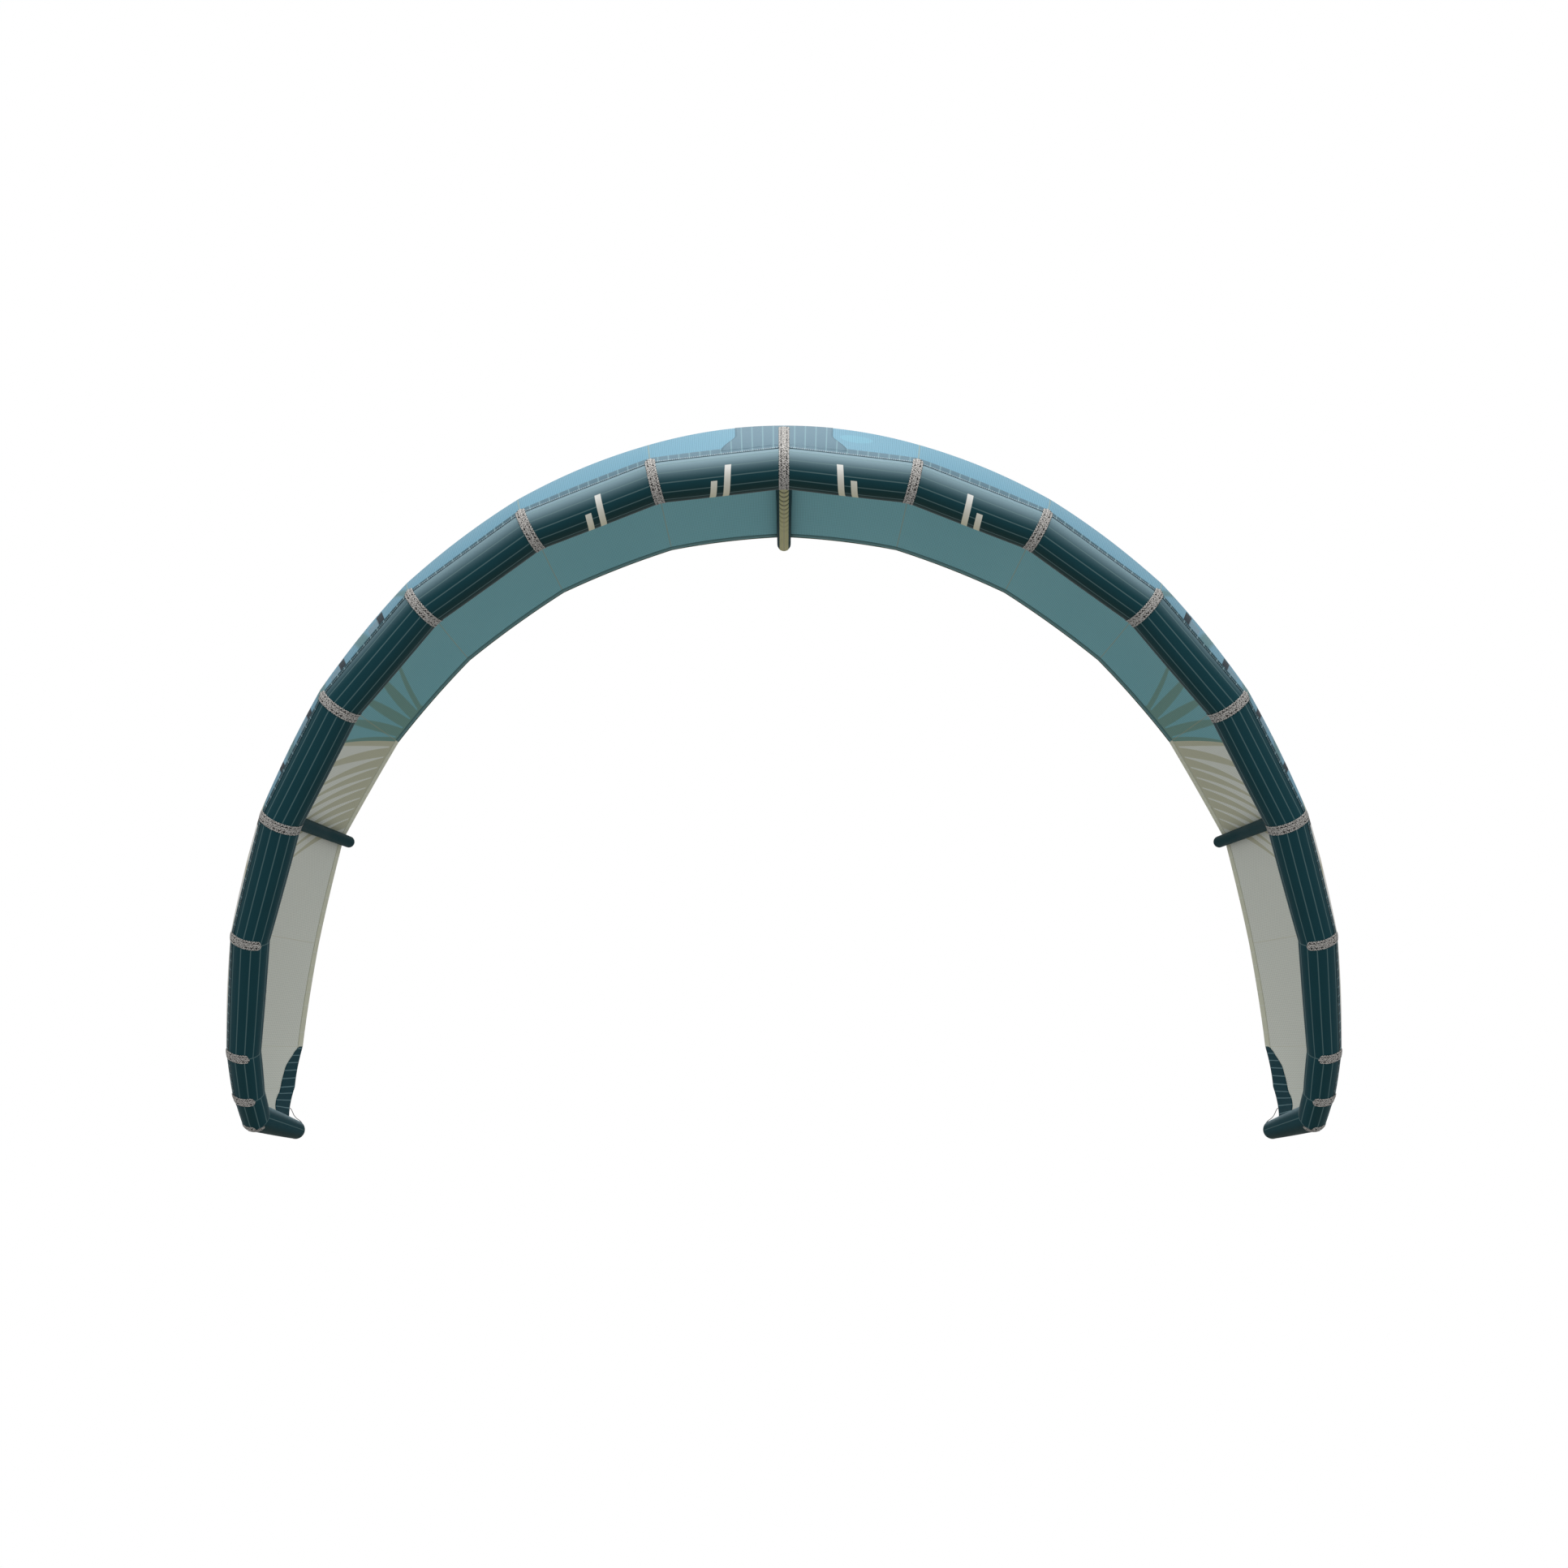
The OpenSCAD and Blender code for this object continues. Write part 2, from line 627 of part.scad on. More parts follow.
// Struts hang under a canopy seam: each touches it at chosen rows of the cloth
cloth_fall = 6;
function row_share(k, row) = mix(sail_front(k), sail_back(k, k), row / CHORD_STEPS);
function strut_radius(k, t) =
  k == 0 ? mix(centre_strut_front_r, centre_strut_rear_r, t) : mix(side_strut_front_r, side_strut_rear_r, t);
function strut_drop(k, t, r) =
  let (along = cubic_slope(RIBS[k], t), out = across(arc_out(k), along))
  cubic(RIBS[k], t) - out * (r / cos(half_turn(k) + cloth_fall) + seat_gap);
strut_root_back = 0.35;
strut_root_out = 0.3;
function strut_frame_back(k) = across(rib_back(k), seam_out(k));
function strut_root(k) =
  SEAMS[k] + tube_r(k) * (strut_root_back * strut_frame_back(k) + strut_root_out * seam_out(k));
strut_tail_past = 6;
function strut_tail(k) =
  let (r = strut_radius(k, 1), q = RIBS[k])
  strut_drop(k, 1, r) + strut_tail_past * cubic_slope(q, 1);
function strut_rows(k) = k == 0 ? CENTRE_STRUT_ROWS : SIDE_STRUT_ROWS;
function strut_path(k) =
  concat(
    [strut_root(k)],
    [
      for (row = strut_rows(k))
        let (t = row_share(k, row))
        strut_drop(k, t, strut_radius(k, t))
    ],
    [strut_tail(k)]
  );
function strut_radii(k) =
  concat(
    [strut_radius(k, 0)],
    [for (row = strut_rows(k)) strut_radius(k, row_share(k, row))],
    [strut_radius(k, 1)]
  );
function strut_along_end(path) = path_along(path, len(path) - 1);
patch_proud = 2 * seat_gap + patch_t;
module tube_around_seam(k, grow) {
  if (k == 0) {
    le_cone(1, grow);
    left() le_cone(1, grow);
  } else {
    le_cone(k, grow);
    le_cone(k + 1, grow);
  }
}
module strut_casing(k) {
  path = strut_path(k);
  radii = strut_radii(k);
  difference() {
    for (i = [0 : len(path) - 2])
      tube_panel(
        path[i], path[i + 1], radii[i], radii[i + 1],
        path_along(path, i), path_along(path, i + 1), casing_wall
      );
    tube_around_seam(k, patch_proud);
  }
}
module centre_strut_casing() {
  color(casing_colour) strut_casing(0);
}
module side_strut_casing_left() {
  color(casing_colour) left() strut_casing(SIDE_STRUT_SEAM);
}
module side_strut_casing_right() {
  color(casing_colour) strut_casing(SIDE_STRUT_SEAM);
}
module strut_cap(k) {
  path = strut_path(k);
  round_end(path[len(path) - 1], strut_along_end(path), strut_radius(k, 1), casing_wall);
}
module strut_end_caps() {
  color(casing_colour) {
    strut_cap(0);
    strut_cap(SIDE_STRUT_SEAM);
    left() strut_cap(SIDE_STRUT_SEAM);
  }
}

// Strut bladders: film tubes inside the strut casings
strut_bladder_start = 1.6;
module strut_bladder_tube(k, shrink) {
  path = strut_path(k);
  radii = strut_radii(k);
  last = len(path) - 1;
  first = path[1] - path[0];
  start = tube_r(k) * strut_bladder_start + shrink;
  trim = casing_wall + 2 * bladder_gap + shrink;
  bladder_path = concat(
    [path[0] + start * unit(first)],
    [for (i = [1 : last - 1]) path[i]],
    [path[last] - shrink * strut_along_end(path)]
  );
  bladder_radii = concat(
    [mix(radii[0], radii[1], start / norm(first)) - trim],
    [for (i = [1 : last]) radii[i] - trim]
  );
  round_sweep(bladder_path, bladder_radii, seam_along(k), STRUT_BLADDER_SIDES);
}
module strut_bladder(k) {
  difference() {
    strut_bladder_tube(k, 0);
    strut_bladder_tube(k, bladder_wall);
  }
}
module centre_strut_bladder() {
  color(bladder_colour) strut_bladder(0);
}
module side_strut_bladder_left() {
  color(bladder_colour) left() strut_bladder(SIDE_STRUT_SEAM);
}
module side_strut_bladder_right() {
  color(bladder_colour) strut_bladder(SIDE_STRUT_SEAM);
}

// Wear strip along the underside of the centre strut and round its end
module centre_strut_wear_strip() {
  path = strut_path(0);
  radii = strut_radii(0);
  last = len(path) - 1;
  grow = seat_gap + patch_t;
  color(strip_colour)
    intersection() {
      union() {
        for (i = [1 : last - 1])
          difference() {
            cone_between(path[i], path[i + 1], radii[i] + grow, radii[i + 1] + grow, le_r);
            cone_between(path[i], path[i + 1], radii[i] + seat_gap, radii[i + 1] + seat_gap, le_r + 1);
            beyond(path[i] + path_along(path, i) * seam_gap / 2, -path_along(path, i));
            beyond(path[i + 1] - path_along(path, i + 1) * seam_gap / 2, path_along(path, i + 1));
            beyond(path[i], [0, 0, 1]);
            beyond(path[i + 1], [0, 0, 1]);
          }
        difference() {
          translate(path[last]) sphere(radii[last] + grow, $fn = ROUND);
          translate(path[last]) sphere(radii[last] + seat_gap, $fn = ROUND);
          beyond(path[last] + path_along(path, last) * seam_gap / 2, -path_along(path, last));
          beyond(path[last], [0, 0, 1]);
        }
      }
      translate([-wear_strip_w / 2, 0, -BIG]) cube([wear_strip_w, 3 * BIG, 2 * BIG]);
    }
}

// Air hoses between the leading edge and the struts, in the plane of each strut
module in_strut_frame(k) {
  in_frame(SEAMS[k], strut_frame_back(k), seam_out(k)) children();
}
function outlet_dir() = [0, cos(hose_outlet_angle), -sin(hose_outlet_angle)];
function outlet_turn() = [0, sin(hose_outlet_angle), cos(hose_outlet_angle)];
function outlet_top(k) = outlet_dir() * (tube_r(k) + patch_proud + outlet_h);
function bend_centre(k) = outlet_top(k) + hose_bend_r * outlet_turn();
bend_sweep = 90 + hose_outlet_angle;
function bend_point(k, a) =
  bend_centre(k) + hose_bend_r * [0, cos(a - bend_sweep), sin(a - bend_sweep)];
function bend_along(a) = [0, -sin(a - bend_sweep), cos(a - bend_sweep)];
hose_depth = socket_depth - 1;
flat_half_w = hose_r * PI / 2 - pinched_t / 4;
function smooth(x) = let (c = min(1, max(0, x))) c * c * (3 - 2 * c);
pinch_flat = 3;
pinch_ease = 15;
HOSE_STEPS = 20;
module air_hose(k) {
  arc = [
    for (i = [0 : HOSE_STEPS])
      let (
        a = bend_sweep * i / HOSE_STEPS,
        off = abs(a - bend_sweep / 2) * PI / 180 * hose_bend_r,
        open = smooth((off - pinch_flat) / pinch_ease)
      )
      ring(bend_point(k, a), bend_along(a), [1, 0, 0],
        mix(flat_half_w, hose_r, open), mix(pinched_t / 2, hose_r, open), 12)
  ];
  start = ring(outlet_top(k) - hose_depth * outlet_dir(), outlet_dir(), [1, 0, 0], hose_r, hose_r, 12);
  finish = ring(bend_point(k, bend_sweep) + [0, 0, hose_depth], [0, 0, 1], [1, 0, 0], hose_r, hose_r, 12);
  in_strut_frame(k) ring_solid(concat([start], arc, [finish]));
}
module air_hose_centre() {
  color(plastic_colour) air_hose(0);
}
module air_hose_left() {
  color(plastic_colour) left() air_hose(SIDE_STRUT_SEAM);
}
module air_hose_right() {
  color(plastic_colour) air_hose(SIDE_STRUT_SEAM);
}

// Hose outlets: sockets with a flange, on the tube and under the strut
flange_w = 6;
flange_h = 3;
strut_outlet_share = 0.7;
outlet_r = hose_r + seat_gap + outlet_wall;
flange_r = outlet_r + flange_w;
module outlet_socket(depth) {
  difference() {
    cylinder(h = depth, r = outlet_r, $fn = ROUND);
    translate([0, 0, -1]) cylinder(h = socket_depth + 1, r = hose_r + seat_gap, $fn = ROUND);
  }
}
module tube_outlet(k) {
  difference() {
    in_strut_frame(k)
      translate(outlet_top(k)) rotate([90 - hose_outlet_angle, 0, 0])
        union() {
          outlet_socket(outlet_h + tube_r(k) / 2);
          translate([0, 0, outlet_h - flange_h]) cylinder(h = tube_r(k) / 2, r = flange_r, $fn = ROUND);
        }
    tube_around_seam(k, patch_proud);
  }
}
module strut_outlet(k) {
  path = strut_path(k);
  radii = strut_radii(k);
  difference() {
    in_strut_frame(k) translate(bend_point(k, bend_sweep)) outlet_socket(strut_outlet_share * tube_r(k));
    for (i = [0 : 1])
      cone_between(path[i], path[i + 1], radii[i] + seat_gap, radii[i + 1] + seat_gap, tube_r(k) / 3);
  }
}
module hose_outlet_pair(k) {
  tube_outlet(k);
  strut_outlet(k);
}
module hose_outlets() {
  color(plastic_colour) {
    hose_outlet_pair(0);
    hose_outlet_pair(SIDE_STRUT_SEAM);
    left() hose_outlet_pair(SIDE_STRUT_SEAM);
  }
}

// Hose clips: a channel behind the hose and a lever that pinches it. Rest is closed
module in_clip_frame(k) {
  a = bend_sweep / 2;
  in_strut_frame(k)
    translate(bend_point(k, a)) rotate([a - hose_outlet_angle, 0, 0]) rotate([0, 180, 0])
      children();
}
clip_side_gap = 0.8;
clip_hinge_inset = 2.4;
clip_hinge_rise = 1.6;
clip_hub_wall = 2;
clip_in_w = 2 * (flat_half_w + clip_side_gap);
clip_out_w = clip_in_w + 2 * clip_wall;
clip_floor = -(hose_r + pow(clip_len / 2, 2) / 2 / hose_bend_r + seat_gap);
clip_hinge_y = -clip_len / 2 + clip_pin_r + clip_hinge_inset;
clip_hinge_z = hose_r + clip_pin_r + clip_hinge_rise;
clip_hub_r = clip_pin_r + clip_hub_wall;
clip_ear_h = clip_hinge_z - clip_floor + 0.5;
clip_nub = 4;
nub_gap = 0.15;
module clip_base(k) {
  in_clip_frame(k) {
    translate([-clip_out_w / 2, -clip_len / 2, clip_floor - clip_wall])
      cube([clip_out_w, clip_len, clip_wall]);
    translate([-clip_in_w / 2, -clip_nub / 2, clip_floor - 0.5])
      cube([clip_in_w, clip_nub, -clip_floor + 0.5 - pinched_t / 2 - nub_gap]);
    for (side = [-1, 1]) {
      translate([side * (clip_in_w + clip_wall) / 2 - clip_wall / 2, -clip_len / 2, clip_floor - 0.5])
        cube([clip_wall, clip_len, -clip_floor + 1.5]);
      translate([side * (clip_in_w + clip_wall) / 2 - clip_wall / 2, clip_hinge_y, clip_floor - 0.5])
        union() {
          translate([0, -clip_hub_r, 0]) cube([clip_wall, 2 * clip_hub_r, clip_ear_h]);
          translate([0, 0, clip_ear_h]) rotate([0, 90, 0])
            cylinder(h = clip_wall, r = clip_hub_r, $fn = ROUND);
        }
    }
    translate([-clip_out_w / 2 + 0.5, clip_hinge_y, clip_hinge_z]) rotate([0, 90, 0])
      cylinder(h = clip_out_w - 1, r = clip_pin_r, $fn = ROUND);
  }
}
module hose_clip_bases() {
  color(plastic_colour) {
    clip_base(0);
    clip_base(SIDE_STRUT_SEAM);
    left() clip_base(SIDE_STRUT_SEAM);
  }
}
lever_side_gap = 0.4;
lever_t = 2.6;
lever_past = 7;
lever_bead_r = 2.08;
lever_w = clip_in_w - 2 * lever_side_gap;
module clip_lever(k) {
  low = clip_hinge_z - lever_t / 2;
  tip = clip_len / 2 + lever_past;
  in_clip_frame(k)
    difference() {
      union() {
        translate([-lever_w / 2, clip_hinge_y, low]) cube([lever_w, tip - clip_hinge_y, lever_t]);
        translate([-lever_w / 2, clip_hinge_y, clip_hinge_z]) rotate([0, 90, 0])
          cylinder(h = lever_w, r = clip_hub_r, $fn = ROUND);
        translate([-lever_w / 2, -clip_nub / 2, pinched_t / 2 + nub_gap])
          cube([lever_w, clip_nub, low - pinched_t / 2 + 0.5]);
        translate([-lever_w / 2, tip, low + lever_t / 2]) rotate([0, 90, 0])
          cylinder(h = lever_w, r = lever_bead_r, $fn = ROUND);
      }
      translate([-clip_out_w, clip_hinge_y, clip_hinge_z]) rotate([0, 90, 0])
        cylinder(h = 2 * clip_out_w, r = clip_pin_r + pin_clear, $fn = ROUND);
    }
}
module hose_clip_lever_centre() {
  color(plastic_colour) clip_lever(0);
}
module hose_clip_lever_left() {
  color(plastic_colour) left() clip_lever(SIDE_STRUT_SEAM);
}
module hose_clip_lever_right() {
  color(plastic_colour) clip_lever(SIDE_STRUT_SEAM);
}

// Inflation valve on the rear of the first tube panel; +Z of its frame points out of the tube
valve_back = across([0, 1, 0], panel_dir(1));
valve_out = cross(panel_dir(1), valve_back);
valve_seat_r = mix(tube_r(0), tube_r(1), valve_at / centre_panel_len);
valve_stem_r = valve_bore_r + valve_wall;
valve_base_r = valve_stem_r + valve_base_w;
valve_collar_w = 5;
valve_collar_r = valve_stem_r + valve_collar_w;
valve_top = valve_seat_r + valve_base_h;
valve_depth = 10;
valve_mouth = valve_top + seat_gap + valve_collar_h;
module in_valve_frame() {
  in_frame(panel_dir(1) * valve_at, valve_back, valve_out)
    rotate([-90 - valve_angle, 0, 0]) rotate([0, 0, 180])
      children();
}
module valve_base() {
  color(plastic_colour)
    difference() {
      in_valve_frame()
        difference() {
          cylinder(h = valve_top, r = valve_base_r, $fn = ROUND);
          translate([0, 0, -1]) cylinder(h = BIG, r = valve_stem_r + pin_clear, $fn = ROUND);
        }
      le_cone(1, seat_gap);
    }
}
valve_pin_inset = 2.6;
valve_pin_y = valve_collar_r + valve_pin_r + valve_pin_inset;
valve_pin_z = valve_mouth + valve_cap_t / 2 + seat_gap;
valve_ear_w = 4;
valve_ear_wall = 1.8;
valve_ear_r = valve_pin_r + valve_ear_wall;
valve_ear_h = valve_pin_z + valve_ear_r - valve_top - seat_gap;
valve_hinge_w = 12;
cap_swing_gap = 1.8;
grip_count = 18;
grip_r = 1.4;
grip_offset = 0.6;
grip_clear_angle = 35;
module valve_body() {
  color(plastic_colour)
    in_valve_frame()
      difference() {
        union() {
          translate([0, 0, valve_seat_r - valve_depth])
            cylinder(h = valve_depth + valve_base_h + 1, r = valve_stem_r, $fn = ROUND);
          translate([0, 0, valve_top + seat_gap])
            cylinder(h = valve_collar_h, r = valve_collar_r, $fn = ROUND);
          for (x = [-valve_hinge_w / 2 - valve_ear_w, valve_hinge_w / 2])
            difference() {
              translate([x, 0, valve_top + seat_gap])
                cube([valve_ear_w, valve_pin_y + valve_ear_r, valve_ear_h]);
              translate([0, 0, valve_mouth])
                cylinder(h = BIG, r = valve_collar_r + cap_swing_gap, $fn = ROUND);
            }
          translate([-valve_hinge_w / 2 - valve_ear_w + 0.5, valve_pin_y, valve_pin_z]) rotate([0, 90, 0])
            cylinder(h = valve_hinge_w + 2 * valve_ear_w - 1, r = valve_pin_r, $fn = ROUND);
        }
        translate([0, 0, -1]) cylinder(h = BIG, r = valve_bore_r, $fn = ROUND);
        for (g = [0 : grip_count - 1])
          let (turn = 360 * (g + 0.5) / grip_count)
            if (abs(turn - 90) > grip_clear_angle)
              rotate([0, 0, turn]) translate([valve_collar_r + grip_offset, 0, valve_top])
                cylinder(h = valve_collar_h + 1, r = grip_r, $fn = 24);
      }
}
// The flap hangs on a round bead at its edge
flap_lap = 1.6;
flap_tab_w = 6;
flap_tab_past = 1;
flap_r = valve_bore_r + flap_lap;
flap_z = valve_seat_r - valve_depth - seat_gap - flap_t;
flap_hinge_y = flap_r + flap_tab_past;
module valve_flap() {
  color(bladder_colour)
    in_valve_frame() translate([0, 0, flap_z]) {
      cylinder(h = flap_t, r = flap_r, $fn = ROUND);
      translate([-flap_tab_w / 2, flap_r / 2, 0]) cube([flap_tab_w, flap_hinge_y - flap_r / 2, flap_t]);
      translate([-flap_tab_w / 2, flap_hinge_y, flap_t / 2]) rotate([0, 90, 0])
        cylinder(h = flap_tab_w, r = flap_t / 2, $fn = ROUND);
    }
}
cap_hub_wall = 1.6;
cap_hub_r = valve_pin_r + cap_hub_wall;
cap_tab_w = 10;
cap_tab_l = 8;
cap_tab_past = 3;
plug_gap = 0.9;
plug_wall = 2;
plug_r = valve_bore_r - plug_gap;
module valve_cap() {
  color(plastic_colour)
    in_valve_frame()
      difference() {
        union() {
          translate([0, 0, valve_mouth + seat_gap])
            cylinder(h = valve_cap_t, r = valve_collar_r, $fn = ROUND);
          difference() {
            translate([0, 0, valve_mouth + seat_gap - valve_plug_h])
              cylinder(h = valve_plug_h + 0.5, r = plug_r, $fn = ROUND);
            translate([0, 0, valve_mouth + seat_gap - valve_plug_h - 1])
              cylinder(h = valve_plug_h + 1, r = plug_r - plug_wall, $fn = ROUND);
          }
          translate([-valve_hinge_w / 2 + seat_gap, 0, valve_mouth + seat_gap])
            cube([valve_hinge_w - 2 * seat_gap, valve_pin_y, valve_cap_t]);
          translate([-valve_hinge_w / 2 + seat_gap, valve_pin_y, valve_pin_z]) rotate([0, 90, 0])
            cylinder(h = valve_hinge_w - 2 * seat_gap, r = cap_hub_r, $fn = ROUND);
          translate([-cap_tab_w / 2, -valve_collar_r - cap_tab_past, valve_mouth + seat_gap])
            cube([cap_tab_w, cap_tab_l, valve_cap_t]);
        }
        translate([-valve_hinge_w, valve_pin_y, valve_pin_z]) rotate([0, 90, 0])
          cylinder(h = 2 * valve_hinge_w, r = valve_pin_r + pin_clear, $fn = ROUND);
      }
}

// Webbing loops for the lines. Each stands on its foot; the hole runs along the tube
loop_outer_r = loop_bore_r + loop_wall;
loop_foot_t = 2;
module line_loop(seat) {
  hole_z = seat + loop_foot_t + loop_outer_r;
  difference() {
    union() {
      translate([-loop_w / 2, 0, hole_z]) rotate([0, 90, 0])
        cylinder(h = loop_w, r = loop_outer_r, $fn = ROUND);
      translate([-loop_w / 2, -loop_wall, 0]) cube([loop_w, 2 * loop_wall, hole_z]);
      translate([-loop_w / 2, -loop_foot / 2, 0]) cube([loop_w, loop_foot, seat + loop_foot_t]);
    }
    translate([-loop_w, 0, hole_z]) rotate([0, 90, 0])
      cylinder(h = 2 * loop_w, r = loop_bore_r, $fn = ROUND);
  }
}
module front_loop(k) {
  back = across([0, 1, 0], seam_along(k));
  out = cross(seam_along(k), back);
  difference() {
    in_frame(SEAMS[k], back, out) rotate([180 + loop_angle, 0, 0]) line_loop(tube_r(k) + patch_proud);
    tube_around_seam(k, patch_proud);
  }
}
module front_line_loops() {
  color(webbing_colour) {
    for (k = LOOP_SEAMS) front_loop(k);
    left() for (k = LOOP_SEAMS) front_loop(k);
  }
}
module rear_loop() {
  along = panel_dir(SEAM_COUNT);
  difference() {
    in_frame(SEAMS[SEAM_COUNT], cross(along, seam_out(SEAM_COUNT)), along) line_loop(tip_r + seat_gap);
    translate(SEAMS[SEAM_COUNT]) sphere(tip_r + seat_gap, $fn = ROUND);
  }
}
module rear_line_loops() {
  color(webbing_colour) {
    rear_loop();
    left() rear_loop();
  }
}

// Thin slack cord from the hem at the tip corner to the rear loop
TIP_CORD = [
  [2080, 1119, -2567], [2077, 1123, -2570], [2075, 1127, -2575], [2073, 1131, -2581], [2071, 1135, -2588],
  [2069, 1139, -2595], [2066, 1144, -2602], [2063, 1149, -2608], [2060, 1155, -2613], [2056, 1161, -2618],
  [2052, 1168, -2622], [2048, 1175, -2627], [2044, 1181, -2633], [2041, 1186, -2639], [2039, 1190, -2646],
  [2038, 1193, -2652], [2039, 1195, -2657], [2041, 1196, -2661], [2043, 1196, -2664], [2046, 1196, -2668]
];
module tip_cord() {
  radii = [for (p = TIP_CORD) tip_cord_d / 2];
  round_sweep(TIP_CORD, radii, [0, 0, 1], 8);
}
module tip_cord_left() {
  color(cord_colour) left() tip_cord();
}
module tip_cord_right() {
  color(cord_colour) tip_cord();
}

centre_tube_panel_left();
centre_tube_panel_right();
leading_edge_casing_left();
leading_edge_casing_right();
leading_edge_bladder();
tip_end_caps();
centre_seam_patch();
seam_patches_left();
seam_patches_right();
join_tape_left();
join_tape_right();
left() canopy_panel(1);  // canopy_panel_1_left
left() canopy_panel(2);  // canopy_panel_2_left
left() canopy_panel(3);  // canopy_panel_3_left
left() canopy_panel(4);  // canopy_panel_4_left
left() canopy_panel(5);  // canopy_panel_5_left
left() canopy_panel(6);  // canopy_panel_6_left
left() canopy_panel(7);  // canopy_panel_7_left
left() canopy_panel(8);  // canopy_panel_8_left
left() canopy_panel(9);  // canopy_panel_9_left
canopy_panel(1);  // canopy_panel_1_right
canopy_panel(2);  // canopy_panel_2_right
canopy_panel(3);  // canopy_panel_3_right
canopy_panel(4);  // canopy_panel_4_right
canopy_panel(5);  // canopy_panel_5_right
canopy_panel(6);  // canopy_panel_6_right
canopy_panel(7);  // canopy_panel_7_right
canopy_panel(8);  // canopy_panel_8_right
canopy_panel(9);  // canopy_panel_9_right
tip_corner_panel_left();
tip_corner_panel_right();
trailing_edge_hem_left();
trailing_edge_hem_right();
centre_reinforcement();
centre_strut_casing();
side_strut_casing_left();
side_strut_casing_right();
centre_strut_bladder();
side_strut_bladder_left();
side_strut_bladder_right();
strut_end_caps();
centre_strut_wear_strip();
hose_outlets();
air_hose_centre();
air_hose_left();
air_hose_right();
hose_clip_bases();
hose_clip_lever_centre();
hose_clip_lever_left();
hose_clip_lever_right();
valve_base();
valve_body();
valve_flap();
valve_cap();
front_line_loops();
rear_line_loops();
tip_cord_left();
tip_cord_right();
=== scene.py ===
"""Kitesurf kite: the dressed model over the CAD frame. Every length is in metres."""
import math

import bpy
import numpy as np
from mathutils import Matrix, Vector


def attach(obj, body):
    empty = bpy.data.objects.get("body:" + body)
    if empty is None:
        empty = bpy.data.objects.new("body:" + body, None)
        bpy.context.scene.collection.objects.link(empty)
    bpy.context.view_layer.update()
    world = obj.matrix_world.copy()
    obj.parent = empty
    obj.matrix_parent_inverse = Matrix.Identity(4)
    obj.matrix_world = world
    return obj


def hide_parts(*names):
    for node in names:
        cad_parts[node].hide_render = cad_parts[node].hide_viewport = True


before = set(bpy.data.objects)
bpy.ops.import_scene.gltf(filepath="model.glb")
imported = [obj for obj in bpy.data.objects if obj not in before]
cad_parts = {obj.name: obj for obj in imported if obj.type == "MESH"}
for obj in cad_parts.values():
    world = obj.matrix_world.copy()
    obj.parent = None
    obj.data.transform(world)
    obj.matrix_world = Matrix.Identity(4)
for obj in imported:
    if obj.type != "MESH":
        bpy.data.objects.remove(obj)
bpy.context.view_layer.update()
scene = bpy.context.scene

# ---------------- camera: level, at half the kite's height
cam_data = bpy.data.cameras.new("camera")
cam_data.lens = 62.1
cam_data.sensor_width = 36
cam_data.clip_end = 60
camera = bpy.data.objects.new("camera", cam_data)
camera.location = (0, -10.27, -1.202)
camera.rotation_euler = (math.radians(90), 0, 0)
scene.collection.objects.link(camera)
scene.camera = camera


# ---------------- vectors
def vec(*p):
    return np.array(p, float)


def unit(v):
    return v / np.linalg.norm(v)


def mix(a, b, t):
    return a + (b - a) * t


def across(v, u):
    return unit(v - np.dot(v, u) * u)


def smooth(x):
    c = np.clip(x, 0, 1)
    return c * c * (3 - 2 * c)


def cosd(a):
    return math.cos(math.radians(a))


def sind(a):
    return math.sin(math.radians(a))


X = vec(1, 0, 0)
Y = vec(0, 1, 0)
Z = vec(0, 0, 1)

# ---------------- the kite's shape, as in the CAD source
# Seams are numbered from 0 in the middle to 10 at the end of the tip tube, and panel k ends at seam k.
SEAM_COUNT = 10
CORNER = SEAM_COUNT - 1
STRUT_SEAM = SEAM_COUNT // 2
SIDES = ((1, "right"), (-1, "left"))
# lengths of the tube's panels, and the panels with a length of their own
PANEL_LEN = 0.510
OWN_LENGTHS = {1: 0.492, STRUT_SEAM: 0.526, CORNER - 1: 0.205, CORNER: 0.128, SEAM_COUNT: 0.371}
# the tube's arc: how the panels lean down and sweep back, in degrees, and the tube's radius
CENTRE_LEAN = 6.4
SEAM_TURN = 14.4
TURN_FADE = 0.049
TIP_LEAN = 136.6
SWEEP_RATE = 2.45
SWEEP_GROWTH = 0.022
TIP_SWEEP = 68
LE_R = 0.081
TAPER_START = 0.5
LE_TAPER = 1.55
TIP_R = 0.039
# the ribs: their length, their directions in degrees, and the pull of their cubic curves
ROOT_CHORD = 1.72
PLANFORM_POWER = 0.76
RIB_SPLAY = 3.35
RIB_PITCH = 3.6
TIP_TOE = 26
TOE_START = 0.6
ATTACH = 32
NOSE_WRAP = 1.8
CREST_PULL = 0.380
CREST_SPAN = 0.55
TAIL_PULL = 0.5
EXIT = 14.5
# the cloth between the ribs, as shares of the panel's length, and the hollow of the trailing edge
BULGE = 0.024
CENTRE_BULGE = {1: 0.050, 2: 0.042, 3: 0.034, 4: 0.030}
EDGE_BULGE = 0.3
SCALLOP = 0.012
# the canopy's outer edge on the tip tube, and the canopy's height over the tube's cloth
TIP_REACH = 0.8
TIP_TE_SHARE = 0.58
TIP_EDGE_TURN = 0.65
CORNER_START = 0.14
SEAT = 0.00055
TIP_SEAT = 0.00085


def panel_length(k):
    return OWN_LENGTHS.get(k, PANEL_LEN)


def lean(k):
    """Degrees that panel k of the tube points down from level."""
    return TIP_LEAN if k == SEAM_COUNT else CENTRE_LEAN + SEAM_TURN * (k - 1) - TURN_FADE * (k - 1) ** 3


